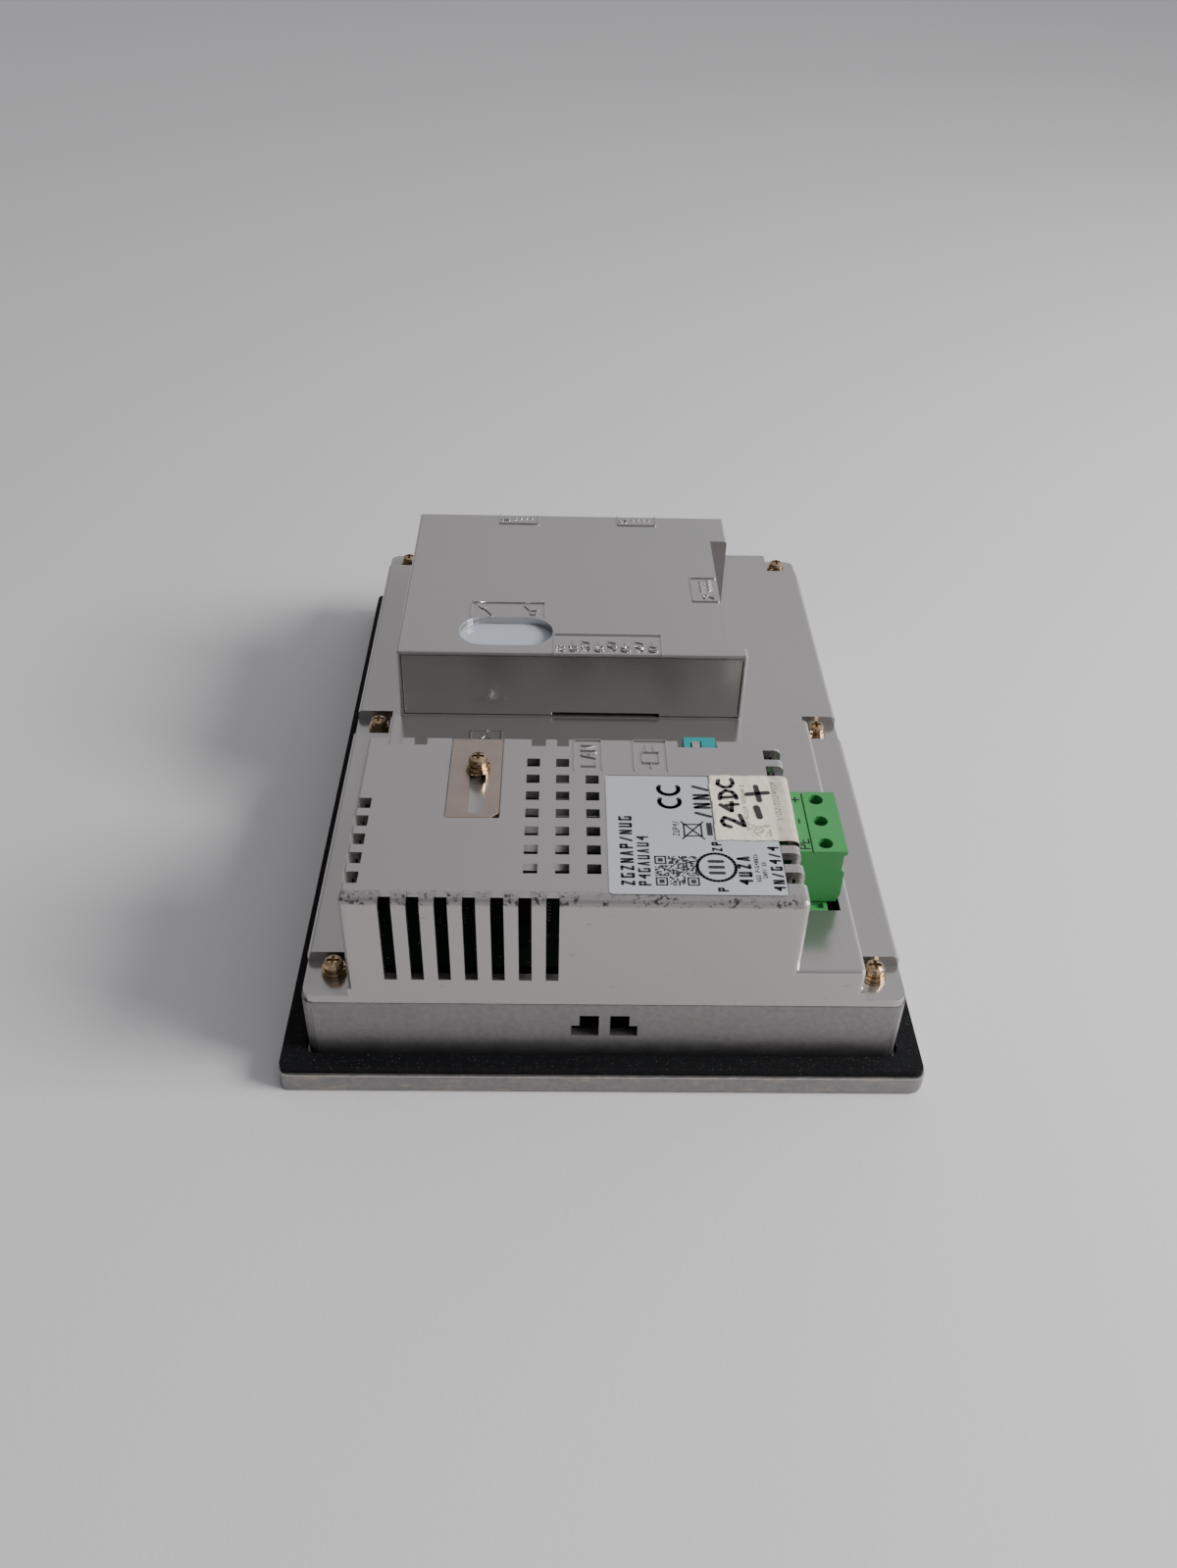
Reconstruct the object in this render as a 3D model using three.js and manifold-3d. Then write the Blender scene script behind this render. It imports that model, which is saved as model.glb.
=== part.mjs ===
// Rear-mounted touch panel operator terminal, lying face down with its back up.
// Millimetres, +Z up. Local datum: the bezel's near left corner on the table plane;
// the whole assembly is centred on the bezel at the end.
import * as THREE from 'three';
import Module from 'manifold-3d';
import { mergeVertices } from 'three/addons/utils/BufferGeometryUtils.js';

const wasm = await Module();
wasm.setup();

// ---- driving dimensions ----
const gap = 0.3;               // clearance between neighbouring parts
const stackGap = 0.12;         // clearance between stacked washers
const seam = 0.12;             // parting line between the frame and the housing
const bezel = { width: 146.5, length: 205, thick: 5.4, corner: 2.6, edge: 0.7 };
const wallInset = { x: 6.5, y: 5.35 };   // bezel edge to body wall
const frame = { wall: 2.2, top: 23.5, corner: 2.5 };
const gasketThick = 2.0;
const wallRidge = 0.3;         // step round the foot of the wall
const screen = { width: 88, length: 156 };          // visible opening
const glass = { width: 99.4, length: 164.4, z0: 2.3, z1: 3.4 };
const lcd = { width: 99.4, length: 164.4, z0: 3.7, z1: 9.8 };
const skin = 2;                // rear housing wall thickness
const bandTop = 28.4;          // outer band of the rear housing
const plateauTop = 34.5;       // raised floor under the two boxes
const boxTop = 54.8;           // both boxes
const pocketFloor = 25.7;      // floor of the screw pockets
const body = {
  x0: wallInset.x,
  x1: bezel.width - wallInset.x,
  y0: wallInset.y,
  y1: bezel.length - wallInset.y,
};
const plateau = { x0: 17.5, x1: 129.4, y0: body.y0 + 0.05, y1: 98 };
const nearBox = { x0: 17.3, x1: 114.8, y0: body.y0 + 0.05, y1: 60.4, edge: 1.5 };
const farBox = { x0: 20.1, x1: 111.5, y0: 97.5, y1: 173.6, edge: 0.7 };
const comBay = { x: 106.5, y0: 101, y1: 158.7 };    // recess in the far box's right side
const ventSize = 3;
const ventPitch = 6.04;
const ventColumns = [{ x: 56.6, from: 0 }, { x: 63.35, from: 0 }, { x: 70.1, from: 1 }];
const ventRows = 7;
const ventFarY = 51.5;
const slotPitch = 5.78;
const wallSlot = { x: 25.45, width: 2.76, z0: 31.1, z1: 53, count: 7, reach: 8.2 };
const sideVent = { width: 3.5, depth: 3.6, firstY: 10.3, left: 5, right: 8 };
const screwX = [13.3, bezel.width - 13.3];
const screwY = [12.5, 102.7, bezel.length - 12.5];
const lockScrew = { x: 44, y: 49 };
const lockPlate = { x0: 37.6, x1: 49.3, y0: 31.8, y1: 60.4, thick: 1, slot: 3.7 };
const lockRecess = 1.3;
const label = { x0: 73.1, x1: 110.2, y0: 7.8, y1: 46.9, thick: 0.2, recess: 0.2 };
const terminal = { pitch: 7.62, y: 37.4, x0: 115.2, x1: 126.5, z0: 34.9, z1: 50, length: 21.6 };
const clampLift = 2.5;
const boardThick = 1.6;
const mainBoardZ = 15.7;
const carrierBoardZ = 29.2;

// ---- solid helpers ----
function solid(geometry) {
  const bare = geometry.clone();
  bare.deleteAttribute('normal');
  bare.deleteAttribute('uv');
  const merged = mergeVertices(bare, 1e-4);
  return new wasm.Manifold(new wasm.Mesh({
    numProp: 3,
    vertProperties: new Float32Array(merged.attributes.position.array),
    triVerts: new Uint32Array(merged.index.array),
  }));
}

function box(x0, x1, y0, y1, z0, z1) {
  const geometry = new THREE.BoxGeometry(x1 - x0, y1 - y0, z1 - z0);
  geometry.translate((x0 + x1) / 2, (y0 + y1) / 2, (z0 + z1) / 2);
  return solid(geometry);
}

// Points of a rounded rectangle, counter-clockwise.
function outline(x0, x1, y0, y1, radius, steps) {
  const corners = [
    [x1 - radius, y0 + radius, -90],
    [x1 - radius, y1 - radius, 0],
    [x0 + radius, y1 - radius, 90],
    [x0 + radius, y0 + radius, 180],
  ];
  const points = [];
  for (const [cx, cy, start] of corners) {
    for (let i = 0; i <= steps; i += 1) {
      const angle = THREE.MathUtils.degToRad(start + (90 * i) / steps);
      points.push([cx + radius * Math.cos(angle), cy + radius * Math.sin(angle)]);
    }
  }
  return points;
}

// Closed solid through a stack of equal-length convex outlines.
function loft(levels) {
  const count = levels[0].points.length;
  const positions = [];
  for (const level of levels) {
    for (const [x, y] of level.points) {
      positions.push(x, y, level.z);
    }
  }
  const index = [];
  for (let k = 0; k + 1 < levels.length; k += 1) {
    for (let i = 0; i < count; i += 1) {
      const a = k * count + i;
      const b = k * count + ((i + 1) % count);
      index.push(a, b, b + count, a, b + count, a + count);
    }
  }
  const last = (levels.length - 1) * count;
  for (let i = 1; i + 1 < count; i += 1) {
    index.push(0, i + 1, i);
    index.push(last, last + i, last + i + 1);
  }
  const geometry = new THREE.BufferGeometry();
  geometry.setAttribute('position', new THREE.Float32BufferAttribute(positions, 3));
  geometry.setIndex(index);
  return solid(geometry);
}

// Block with rounded vertical corners and a rounded top edge. `ease` says which
// sides are rounded over at the top: [left, right, near, far].
function block(area, z0, z1, corner, edge, ease = [1, 1, 1, 1], steps = 3) {
  const ring = (inset) => outline(
    area.x0 + inset * ease[0],
    area.x1 - inset * ease[1],
    area.y0 + inset * ease[2],
    area.y1 - inset * ease[3],
    Math.max(corner - inset, 0.25),
    3,
  );
  const levels = [{ z: z0, points: ring(0) }];
  for (let i = 0; i <= steps; i += 1) {
    const angle = (Math.PI / 2) * (i / steps);
    const rise = edge * Math.sin(angle);
    levels.push({ z: z1 - edge + rise, points: ring(edge * (1 - Math.cos(angle))) });
  }
  return loft(levels);
}

function slab(x0, x1, y0, y1, z0, z1, radius, steps = 3) {
  const points = outline(x0, x1, y0, y1, radius, steps);
  return loft([{ z: z0, points }, { z: z1, points }]);
}

function cylinder(x, y, z0, z1, radius, segments = 16) {
  const geometry = new THREE.CylinderGeometry(radius, radius, z1 - z0, segments);
  geometry.rotateX(Math.PI / 2);
  geometry.translate(x, y, (z0 + z1) / 2);
  return solid(geometry);
}

// Solid of revolution about a vertical axis; profile is [radius, z] from axis to axis.
function turned(x, y, profile, segments = 14) {
  const points = profile.map(([r, z]) => new THREE.Vector2(r, z));
  const geometry = new THREE.LatheGeometry(points, segments);
  geometry.rotateX(Math.PI / 2);
  geometry.translate(x, y, 0);
  return solid(geometry);
}

function ring(x, y, z0, z1, inner, outer, segments = 14) {
  return cylinder(x, y, z0, z1, outer, segments)
    .subtract(cylinder(x, y, z0 - 1, z1 + 1, inner, segments));
}

function union(parts) {
  return parts.reduce((sum, part) => sum.add(part));
}

function cut(base, tools) {
  return tools.reduce((left, tool) => left.subtract(tool), base);
}

function range(count) {
  return Array.from({ length: count }, (_, i) => i);
}

// ---- finishes ----
const finishes = {
  castMetal: { color: 0x94918e, roughness: 0.55, metalness: 0.8 },
  silverPaint: { color: 0x918c8a, roughness: 0.32, metalness: 0.6 },
  gasketRubber: { color: 0x141619, roughness: 0.85, metalness: 0 },
  overlayFilm: { color: 0x2a2d31, roughness: 0.45, metalness: 0 },
  touchGlass: { color: 0x0d1012, roughness: 0.08, metalness: 0 },
  tinPlate: { color: 0xa9aaab, roughness: 0.3, metalness: 1 },
  circuitBoard: { color: 0x1d5a35, roughness: 0.5, metalness: 0 },
  blackPlastic: { color: 0x16171a, roughness: 0.5, metalness: 0 },
  tealPlastic: { color: 0x00a3a5, roughness: 0.35, metalness: 0 },
  greenPlastic: { color: 0x4aa857, roughness: 0.4, metalness: 0 },
  nickel: { color: 0xa59088, roughness: 0.28, metalness: 1 },
  screwPlate: { color: 0x9a8260, roughness: 0.35, metalness: 1 },
  labelFilm: { color: 0xbec3ca, roughness: 0.5, metalness: 0 },
  tapePaper: { color: 0xd7d0be, roughness: 0.8, metalness: 0 },
  paleFilm: { color: 0xb4bcc4, roughness: 0.4, metalness: 0 },
  flexFilm: { color: 0xb07a30, roughness: 0.45, metalness: 0 },
  aluminium: { color: 0x9fa2a5, roughness: 0.4, metalness: 1 },
};

const assembly = new THREE.Group();
assembly.position.set(-bezel.width / 2, -bezel.length / 2, 0);

function addPart(name, finish, shape) {
  const mesh = shape.getMesh();
  const geometry = new THREE.BufferGeometry();
  const vertices = new THREE.Float32BufferAttribute(mesh.vertProperties, 3);
  geometry.setAttribute('position', vertices);
  geometry.setIndex(Array.from(mesh.triVerts));
  const part = new THREE.Mesh(geometry, new THREE.MeshStandardMaterial(finishes[finish]));
  part.name = name;
  assembly.add(part);
}

// ---- front frame: flange, body walls, screen window ----
const centre = { x: bezel.width / 2, y: bezel.length / 2 };

function centred(width, length, z0, z1, radius) {
  return slab(
    centre.x - width / 2,
    centre.x + width / 2,
    centre.y - length / 2,
    centre.y + length / 2,
    z0,
    z1,
    radius,
  );
}

// One L-shaped clamp slot as two boxes; `side` is the direction of its foot.
function clampSlot(side) {
  const tall = box(-2.15, 2.15, -3, 3, 13.4, 19.9);
  const foot = side > 0 ? box(1.9, 4, -3, 3, 13.4, 16.7) : box(-4, -1.9, -3, 3, 13.4, 16.7);
  return tall.add(foot);
}

// Pair of mirrored clamp slots through a wall whose middle is at (x, y).
function clampPair(x, y, quarterTurns) {
  return [-1, 1].map((side) => clampSlot(side)
    .translate([side * 3.4, 0, 0])
    .rotate([0, 0, 90 * quarterTurns])
    .translate([x, y, 0]));
}

const flangeArea = { x0: 0, x1: bezel.width, y0: 0, y1: bezel.length };
const flange = block(flangeArea, -bezel.thick, 0, bezel.corner, bezel.edge)
  .mirror([0, 0, 1]);
const walls = slab(body.x0, body.x1, body.y0, body.y1, bezel.thick - 1, frame.top, frame.corner);
const ridge = slab(
  body.x0 - wallRidge,
  body.x1 + wallRidge,
  body.y0 - wallRidge,
  body.y1 + wallRidge,
  bezel.thick - 1,
  bezel.thick + wallRidge,
  frame.corner,
);
const room = slab(
  body.x0 + frame.wall,
  body.x1 - frame.wall,
  body.y0 + frame.wall,
  body.y1 - frame.wall,
  bezel.thick,
  frame.top + 1,
  1.5,
);
const housingScrews = screwX.flatMap((x) => screwY.map((y) => ({ x, y })));
const frameBosses = housingScrews.map(({ x, y }) => {
  const wallX = x < centre.x ? body.x0 + 1 : body.x1 - 1;
  return cylinder(x, y, bezel.thick - 1, frame.top, 3.4)
    .add(box(Math.min(x, wallX), Math.max(x, wallX), y - 1, y + 1, bezel.thick - 1, frame.top));
});
const boardPosts = [20, bezel.width - 20].flatMap((x) => [60, 145].map((y) => (
  cylinder(x, y, bezel.thick - 1, mainBoardZ - gap, 2.4, 12))));
const clampHoles = [
  ...clampPair(centre.x, body.y0 + 1, 0),
  ...clampPair(centre.x, body.y1 - 1, 0),
  ...clampPair(body.x0 + 1, centre.y - 34, 1),
  ...clampPair(body.x1 - 1, centre.y - 34, 1),
];
addPart('front_frame', 'castMetal', cut(
  union([union([flange, walls, ridge]).subtract(room), ...frameBosses, ...boardPosts]),
  [
    centred(lcd.width + 0.8, lcd.length + 0.8, glass.z0 - gap, bezel.thick + 1, 1),
    centred(screen.width, screen.length, -1, bezel.thick, 1.5),
    centred(bezel.width - 6, bezel.length - 6, -1, 0.7, 3),
    ...housingScrews.map(({ x, y }) => cylinder(x, y, 14, frame.top + 1, 1.7, 12)),
    ...clampHoles,
  ],
));

addPart('front_overlay', 'overlayFilm', centred(bezel.width - 6.6, bezel.length - 6.6, 0.15, 0.4, 2.8)
  .subtract(centred(screen.width, screen.length, -1, 2, 1.5)));
addPart('touch_glass', 'touchGlass', centred(glass.width, glass.length, glass.z0, glass.z1, 1));
addPart('lcd_module', 'tinPlate', centred(lcd.width, lcd.length, lcd.z0, lcd.z1, 1));

const gasketArea = { inner: wallRidge + 0.3, outer: 0.6 };
addPart('panel_gasket', 'gasketRubber', slab(
  gasketArea.outer,
  bezel.width - gasketArea.outer,
  gasketArea.outer,
  bezel.length - gasketArea.outer,
  bezel.thick + 0.1,
  bezel.thick + 0.1 + gasketThick,
  1.6,
).subtract(slab(
  body.x0 - gasketArea.inner,
  body.x1 + gasketArea.inner,
  body.y0 - gasketArea.inner,
  body.y1 + gasketArea.inner,
  bezel.thick - 1,
  bezel.thick + 3,
  frame.corner,
)));

// ---- rear housing: band, plateau, two boxes, all one thin shell ----
const bandArea = { x0: body.x0 + 0.5, x1: body.x1 - 0.5, y0: body.y0 + 0.05, y1: body.y1 - 0.4 };
const housingBase = frame.top + seam;
const shellOutside = union([
  block(bandArea, housingBase, bandTop, 2.5, 1.1),
  block(plateau, housingBase + 1, plateauTop, 1.2, 1.1),
  block(nearBox, housingBase + 1, boxTop, 1.5, nearBox.edge, [0.6, 1, 1, 0]),
  block(farBox, housingBase + 1, boxTop, 0.7, farBox.edge, [1, 1, 1, 1], 2),
]);

function inside(area, top) {
  return box(area.x0 + skin, area.x1 - skin, area.y0 + skin, area.y1 - skin, housingBase - 1, top);
}

// Corner and middle pockets are open to the outside of the band.
const pocketWidth = 10.2;
const pockets = [
  { x0: 0, x1: nearBox.x0 - 0.1, y0: 0, y1: 16 },
  { x0: plateau.x1 + 0.7, x1: bezel.width, y0: 0, y1: 16 },
  { x0: 0, x1: 16.7, y0: 97.5, y1: 97.5 + pocketWidth },
  { x0: 130, x1: bezel.width, y0: 97.5, y1: 97.5 + pocketWidth },
  { x0: 0, x1: 16.7, y0: 188.5, y1: bezel.length },
  { x0: 129.8, x1: bezel.width, y0: 188.5, y1: bezel.length },
];
const pocketCuts = pockets.map((p) => box(p.x0, p.x1, p.y0, p.y1, pocketFloor, bandTop + 1));
const pocketBacks = pockets.map((p) => box(
  p.x0,
  p.x1 + (p.x1 < centre.x ? skin : 0),
  p.y0 - skin,
  p.y1 + skin,
  housingBase - 2,
  bandTop,
).add(box(p.x0 - (p.x0 > centre.x ? skin : 0), p.x1, p.y0 - skin, p.y1 + skin, housingBase - 2, bandTop)));
const bayInside = box(comBay.x - skin, bezel.width, comBay.y0 - skin, comBay.y1 + skin, bandTop - 2, boxTop);
const lockSupport = box(lockPlate.x0 - 2, lockPlate.x1 + 2, lockPlate.y0 - 2, nearBox.y1, 51.2, boxTop)
  .add(cylinder(lockScrew.x, lockScrew.y, 48.6, boxTop, 3.3));
const audioWell = { x0: 35.7, x1: 60.6, y0: 101.2, y1: 114.8, floor: boxTop - 3.4 };
const shellInside = cut(
  union([
    inside(bandArea, bandTop - skin),
    inside(plateau, plateauTop - skin),
    inside(nearBox, boxTop - skin),
    inside(farBox, boxTop - skin),
    box(farBox.x0 + skin, comBay.x - skin, plateau.y1 - 4, farBox.y0 + 4, housingBase - 1,
      plateauTop - skin),
  ]),
  [...pocketBacks, bayInside, lockSupport],
);

const topVents = ventColumns.flatMap(({ x, from }) => range(ventRows - from).map((row) => {
  const y = ventFarY - ventPitch * (row + from);
  const half = ventSize / 2;
  return box(x - half, x + half, y - half, y + half, boxTop - skin - 1, boxTop + 1);
}));
const wallSlots = range(wallSlot.count).flatMap((i) => {
  const x = wallSlot.x + slotPitch * i;
  return [
    box(x, x + wallSlot.width, 0, nearBox.y0 + skin + 1, wallSlot.z0, wallSlot.z1),
    box(x, x + wallSlot.width, 0, wallSlot.reach, wallSlot.z1 - 3, boxTop + 1),
  ];
});
const leftVents = range(sideVent.left).map((i) => {
  const y = sideVent.firstY + ventPitch * i;
  return box(0, nearBox.x0 + sideVent.depth, y, y + sideVent.width, 40, boxTop + 1);
});
const rightVents = range(sideVent.right).map((i) => {
  const y = sideVent.firstY + 1.1 + ventPitch * i;
  const behindTerminal = y + sideVent.width > 25 && y < 50;
  const x0 = nearBox.x1 - sideVent.depth - 0.8;
  return box(x0, bezel.width, y, y + sideVent.width, behindTerminal ? 52.4 : 44, boxTop + 1);
});
const farNotches = [[22.4, 25.6], [28.4, 31.5], [56, 59.4], [62, 64.8]].map(([x0, x1]) => (
  box(x0, x1, nearBox.y1 - 2.6, nearBox.y1 + 1, boxTop - 4.5, boxTop + 1)));
const teal = { x0: 91.9, x1: 99.5, z0: 39.3, face: nearBox.y1 + 2, depth: 2.4 };
const tealNotch = { x0: 90.5, x1: 99.8 };
const tealTongue = { x0: 93.9, x1: 95.8 };
const lan = { x0: 58.4, x1: 74.6, z0: 35.6, height: 13.4, depth: 21 };
const usbHost = { x0: 77.4, x1: 90.2, z0: 36.9, height: 6.6, depth: 14.5 };
const usbDevice = { x0: 37.6, x1: 49.6, z0: 36.9, height: 11, depth: 16 };

function portCut(port) {
  return box(
    port.x0 - gap,
    port.x1 + gap,
    nearBox.y1 - skin - 1,
    nearBox.y1 + 1,
    port.z0 - gap,
    port.z0 + port.height + gap,
  );
}

const header = { y0: terminal.y - terminal.length / 2, y1: terminal.y + terminal.length / 2 };
const clearance = { x0: nearBox.x1 + 3, x1: 126.6, y0: header.y0 - 2.2, y1: header.y0 + 4 };
const comPorts = [
  { x: 50, y: farBox.y1 },
  { x: 84.6, y: farBox.y1 },
];
const comShell = { z: 44, reach: 6.3 };
const option = { x0: 21.1, x1: 110.5, z0: 34.8, z1: 53.7, thick: 1.4 };
const optionSlot = { x0: 60.6, x1: 89.2 };
const housingCuts = [
  slab(
    label.x0 - gap,
    label.x1 + gap,
    label.y0 - gap,
    label.y1 + gap,
    boxTop - label.recess,
    boxTop + 1,
    0.9,
    2,
  ),
  shellInside,
  ...pocketCuts,
  ...topVents,
  ...wallSlots,
  ...leftVents,
  ...rightVents,
  ...farNotches,
  box(comBay.x, bezel.width, comBay.y0, comBay.y1, bandTop, boxTop + 1),
  box(104.6, nearBox.x1 + 1, nearBox.y1 - 1.1, nearBox.y1 + 1, boxTop - 6, boxTop + 1),
  box(104.6, nearBox.x1 + 1, nearBox.y1 - 2.4, nearBox.y1, boxTop - 1, boxTop + 1),
  box(tealNotch.x0, tealNotch.x1, nearBox.y1 - teal.depth, nearBox.y1 + 1, teal.z0 - gap, boxTop + 1)
    .subtract(box(tealTongue.x0, tealTongue.x1, 0, nearBox.y1 + 2, boxTop - skin, boxTop + 2)),
  portCut(lan),
  portCut(usbHost),
  portCut(usbDevice),
  box(nearBox.x1 - skin - 1, nearBox.x1 + 1, header.y0 - gap, header.y1 + gap, plateauTop + 0.1, 50.6),
  box(clearance.x0, clearance.x1, clearance.y0, clearance.y1, plateauTop - skin - 1, plateauTop + 1),
  ...comPorts.map(({ x }) => box(
    x - 10.2,
    x + 10.2,
    farBox.y1 - skin - 1,
    farBox.y1 + 1,
    comShell.z - 5.4,
    comShell.z + 5.4,
  )),
  box(comBay.x - skin - 1, comBay.x + 1, 120.2, 140.6, comShell.z - 5.4, comShell.z + 5.4),
  box(option.x0, option.x1, farBox.y0 - 1, farBox.y0 + skin + 0.5, option.z0, option.z1),
  box(optionSlot.x0, optionSlot.x1, farBox.y0 - 1, farBox.y0 + skin + 1, plateauTop + 0.1, option.z0 + 1),
  slab(audioWell.x0, audioWell.x1, audioWell.y0, audioWell.y1, boxTop - 4, boxTop + 1, 6.7, 6),
  slab(lockPlate.x0 - gap, lockPlate.x1 + gap, lockPlate.y0 - gap, nearBox.y1 + 1,
    boxTop - lockRecess, boxTop + 1, 0.4, 1),
  cylinder(lockScrew.x, lockScrew.y, 40, boxTop, 1.65, 12),
  ...housingScrews.map(({ x, y }) => cylinder(x, y, housingBase - 1, bandTop, 1.9, 12)),
];
addPart('rear_housing', 'silverPaint', cut(shellOutside, housingCuts));

// ---- window film over the audio well, seated under the far box's lid ----
addPart('audio_window_film', 'paleFilm', slab(
  audioWell.x0 - 1.5,
  audioWell.x1 + 1.5,
  audioWell.y0 - 0.8,
  audioWell.y1 + 1.5,
  boxTop - skin - 0.6,
  boxTop - skin - gap / 2,
  6.5,
  6,
));

// ---- option cover in the far box's near wall ----
addPart('option_cover', 'silverPaint', union([
  box(option.x0 + 0.25, option.x1 - 0.25, farBox.y0 + 0.25, farBox.y0 + 0.25 + option.thick,
    option.z0 + 0.2, option.z1 - 0.3),
  ...range(3).map((i) => box(34 + 28 * i, 42 + 28 * i, farBox.y0 + 1, farBox.y0 + 5,
    option.z0 + 4, option.z0 + 5.2)),
]).subtract(box(optionSlot.x0, optionSlot.x1, farBox.y0, farBox.y0 + skin, 0, option.z0 + 1)));

// ---- boards and what stands on them ----
const mainBoard = { x0: 17.4, x1: bezel.width - 17.4, y0: 17, y1: 188 };
addPart('main_board', 'circuitBoard', cut(
  box(mainBoard.x0, mainBoard.x1, mainBoard.y0, mainBoard.y1, mainBoardZ, mainBoardZ + boardThick),
  [20, bezel.width - 20].flatMap((x) => [60, 145].map((y) => (
    cylinder(x, y, mainBoardZ - 1, mainBoardZ + 3, 1.2, 10)))),
));
const carrier = { x0: 22.5, x1: 104, nearX1: 112.2, y0: 10, y1: 169.5, nearY1: 57.8 };
addPart('carrier_board', 'circuitBoard', union([
  box(carrier.x0, carrier.x1, carrier.y0, carrier.y1, carrierBoardZ, carrierBoardZ + boardThick),
  box(carrier.x1 - 1, carrier.nearX1, carrier.y0, carrier.nearY1, carrierBoardZ,
    carrierBoardZ + boardThick),
]));
[[28, 22], [98, 22], [28, 160], [98, 160]].forEach(([x, y], i) => {
  addPart(`board_standoff_${i + 1}`, 'tinPlate', cylinder(
    x,
    y,
    mainBoardZ + boardThick + gap,
    carrierBoardZ - gap,
    2.75,
    6,
  ));
});
const sink = { x: 76, y: 118, size: 26, z: mainBoardZ + boardThick + gap };
addPart('heat_sink', 'aluminium', union([
  box(sink.x - sink.size / 2, sink.x + sink.size / 2, sink.y - sink.size / 2,
    sink.y + sink.size / 2, sink.z, sink.z + 2),
  ...range(7).map((i) => {
    const x = sink.x - sink.size / 2 + 4.1 * i;
    return box(x, x + 1.4, sink.y - sink.size / 2, sink.y + sink.size / 2, sink.z + 1, sink.z + 8);
  }),
]));
addPart('coin_cell', 'tinPlate', turned(45, 80, [
  [0, mainBoardZ + 2], [9.6, mainBoardZ + 2], [10, mainBoardZ + 2.4], [10, mainBoardZ + 5],
  [8.6, mainBoardZ + 5.2], [0, mainBoardZ + 5.2],
]));
addPart('power_capacitor', 'blackPlastic', turned(86, 20, [
  [0, 31.2], [4.8, 31.2], [5, 31.5], [5, 43.4], [4.6, 43.8], [0, 43.8],
]));
addPart('speaker', 'blackPlastic', turned(80, 132, [
  [0, 31.2], [10, 31.2], [10, 35.5], [8.6, 36.4], [0, 36.4],
], 20));
addPart('lcd_flat_cable', 'flexFilm', union([
  box(60, 84, 186.2, 186.5, lcd.z0 + 2, mainBoardZ - 0.3),
  box(60, 84, 180, 186.5, mainBoardZ - 0.6, mainBoardZ - 0.3),
]));

// ---- sockets in the near box's far wall ----
const boardTop = carrierBoardZ + boardThick + gap;
const portFace = nearBox.y1 - 0.2;

// Block behind the wall opening, on a pedestal that reaches the board.
function portBlock(port) {
  const back = portFace - port.depth;
  return box(port.x0, port.x1, back, portFace, port.z0, port.z0 + port.height)
    .add(box(port.x0 + 0.6, port.x1 - 0.6, back, portFace - skin - 1, boardTop, port.z0 + 0.5));
}

addPart('lan_jack', 'tinPlate', cut(
  portBlock(lan),
  [
    box(lan.x0 + 2.2, lan.x1 - 2.2, portFace - 13, portFace + 1, lan.z0 + 3.6, lan.z0 + 11.4),
    box(lan.x0 + 5, lan.x1 - 5, portFace - 13, portFace + 1, lan.z0 + 1.8, lan.z0 + 4),
  ],
));

// Pressed shell around a rectangular opening.
function shellPort(port) {
  return cut(
    portBlock(port),
    [box(port.x0 + 0.6, port.x1 - 0.6, portFace - port.depth + 2, portFace + 1, port.z0 + 0.6,
      port.z0 + port.height - 0.6)],
  );
}

addPart('usb_host_port', 'tinPlate', shellPort(usbHost));
addPart('usb_device_port', 'tinPlate', shellPort(usbDevice));
const insertWall = 0.9;
const auxHole = { x0: teal.x0 + insertWall, x1: teal.x1 - insertWall, z0: teal.z0 + 1.6, z1: boxTop - 3.2 };
addPart('aux_port_insert', 'tealPlastic', cut(
  box(teal.x0, teal.x1, nearBox.y1 - teal.depth + gap, teal.face, teal.z0, boxTop - 0.2),
  [
    box(auxHole.x0, auxHole.x1, 0, teal.face + 1, auxHole.z0, auxHole.z1),
    box(tealTongue.x0 - gap, tealTongue.x1 + gap, 0, nearBox.y1 + gap, boxTop - skin - gap, boxTop),
  ],
));
const auxWall = 0.4;
const auxBack = nearBox.y1 - 14;
addPart('aux_port_shell', 'tinPlate', cut(
  box(auxHole.x0 + gap, auxHole.x1 - gap, auxBack, teal.face - 0.3, auxHole.z0 + gap,
    auxHole.z1 - gap),
  [box(auxHole.x0 + gap + auxWall, auxHole.x1 - gap - auxWall, auxBack + 2, teal.face + 1,
    auxHole.z0 + gap + auxWall, auxHole.z1 - gap - auxWall)],
));

// ---- serial connectors: D-shaped female shells with a flange behind the wall ----
function serialConnector() {
  const shellDepth = comShell.reach - 0.5;
  const nose = new THREE.Shape();
  nose.moveTo(-8.1, 3.9);
  nose.lineTo(8.1, 3.9);
  nose.lineTo(7, -3.9);
  nose.lineTo(-7, -3.9);
  nose.closePath();
  const noseGeometry = new THREE.ExtrudeGeometry(nose, { depth: shellDepth, bevelEnabled: false });
  noseGeometry.rotateX(Math.PI / 2);
  noseGeometry.translate(0, shellDepth + 0.5, 0);
  const socketHoles = range(9).map((i) => {
    const upper = i < 5;
    const x = (upper ? i - 2 : i - 6.5) * 2.77;
    const hole = new THREE.CylinderGeometry(0.6, 0.6, 3, 6);
    hole.translate(x, shellDepth, upper ? 1.4 : -1.4);
    return solid(hole);
  });
  return cut(
    union([
      solid(noseGeometry),
      box(-15.4, 15.4, -0.2, 1, -6.1, 6.1),
      box(-9.5, 9.5, -9, 0, -5.5, 5.5),
    ]),
    [...socketHoles, ...[-12.5, 12.5].map((x) => {
      const hole = new THREE.CylinderGeometry(1.5, 1.5, 4, 10);
      hole.translate(x, 0.5, 0);
      return solid(hole);
    })],
  );
}

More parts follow.
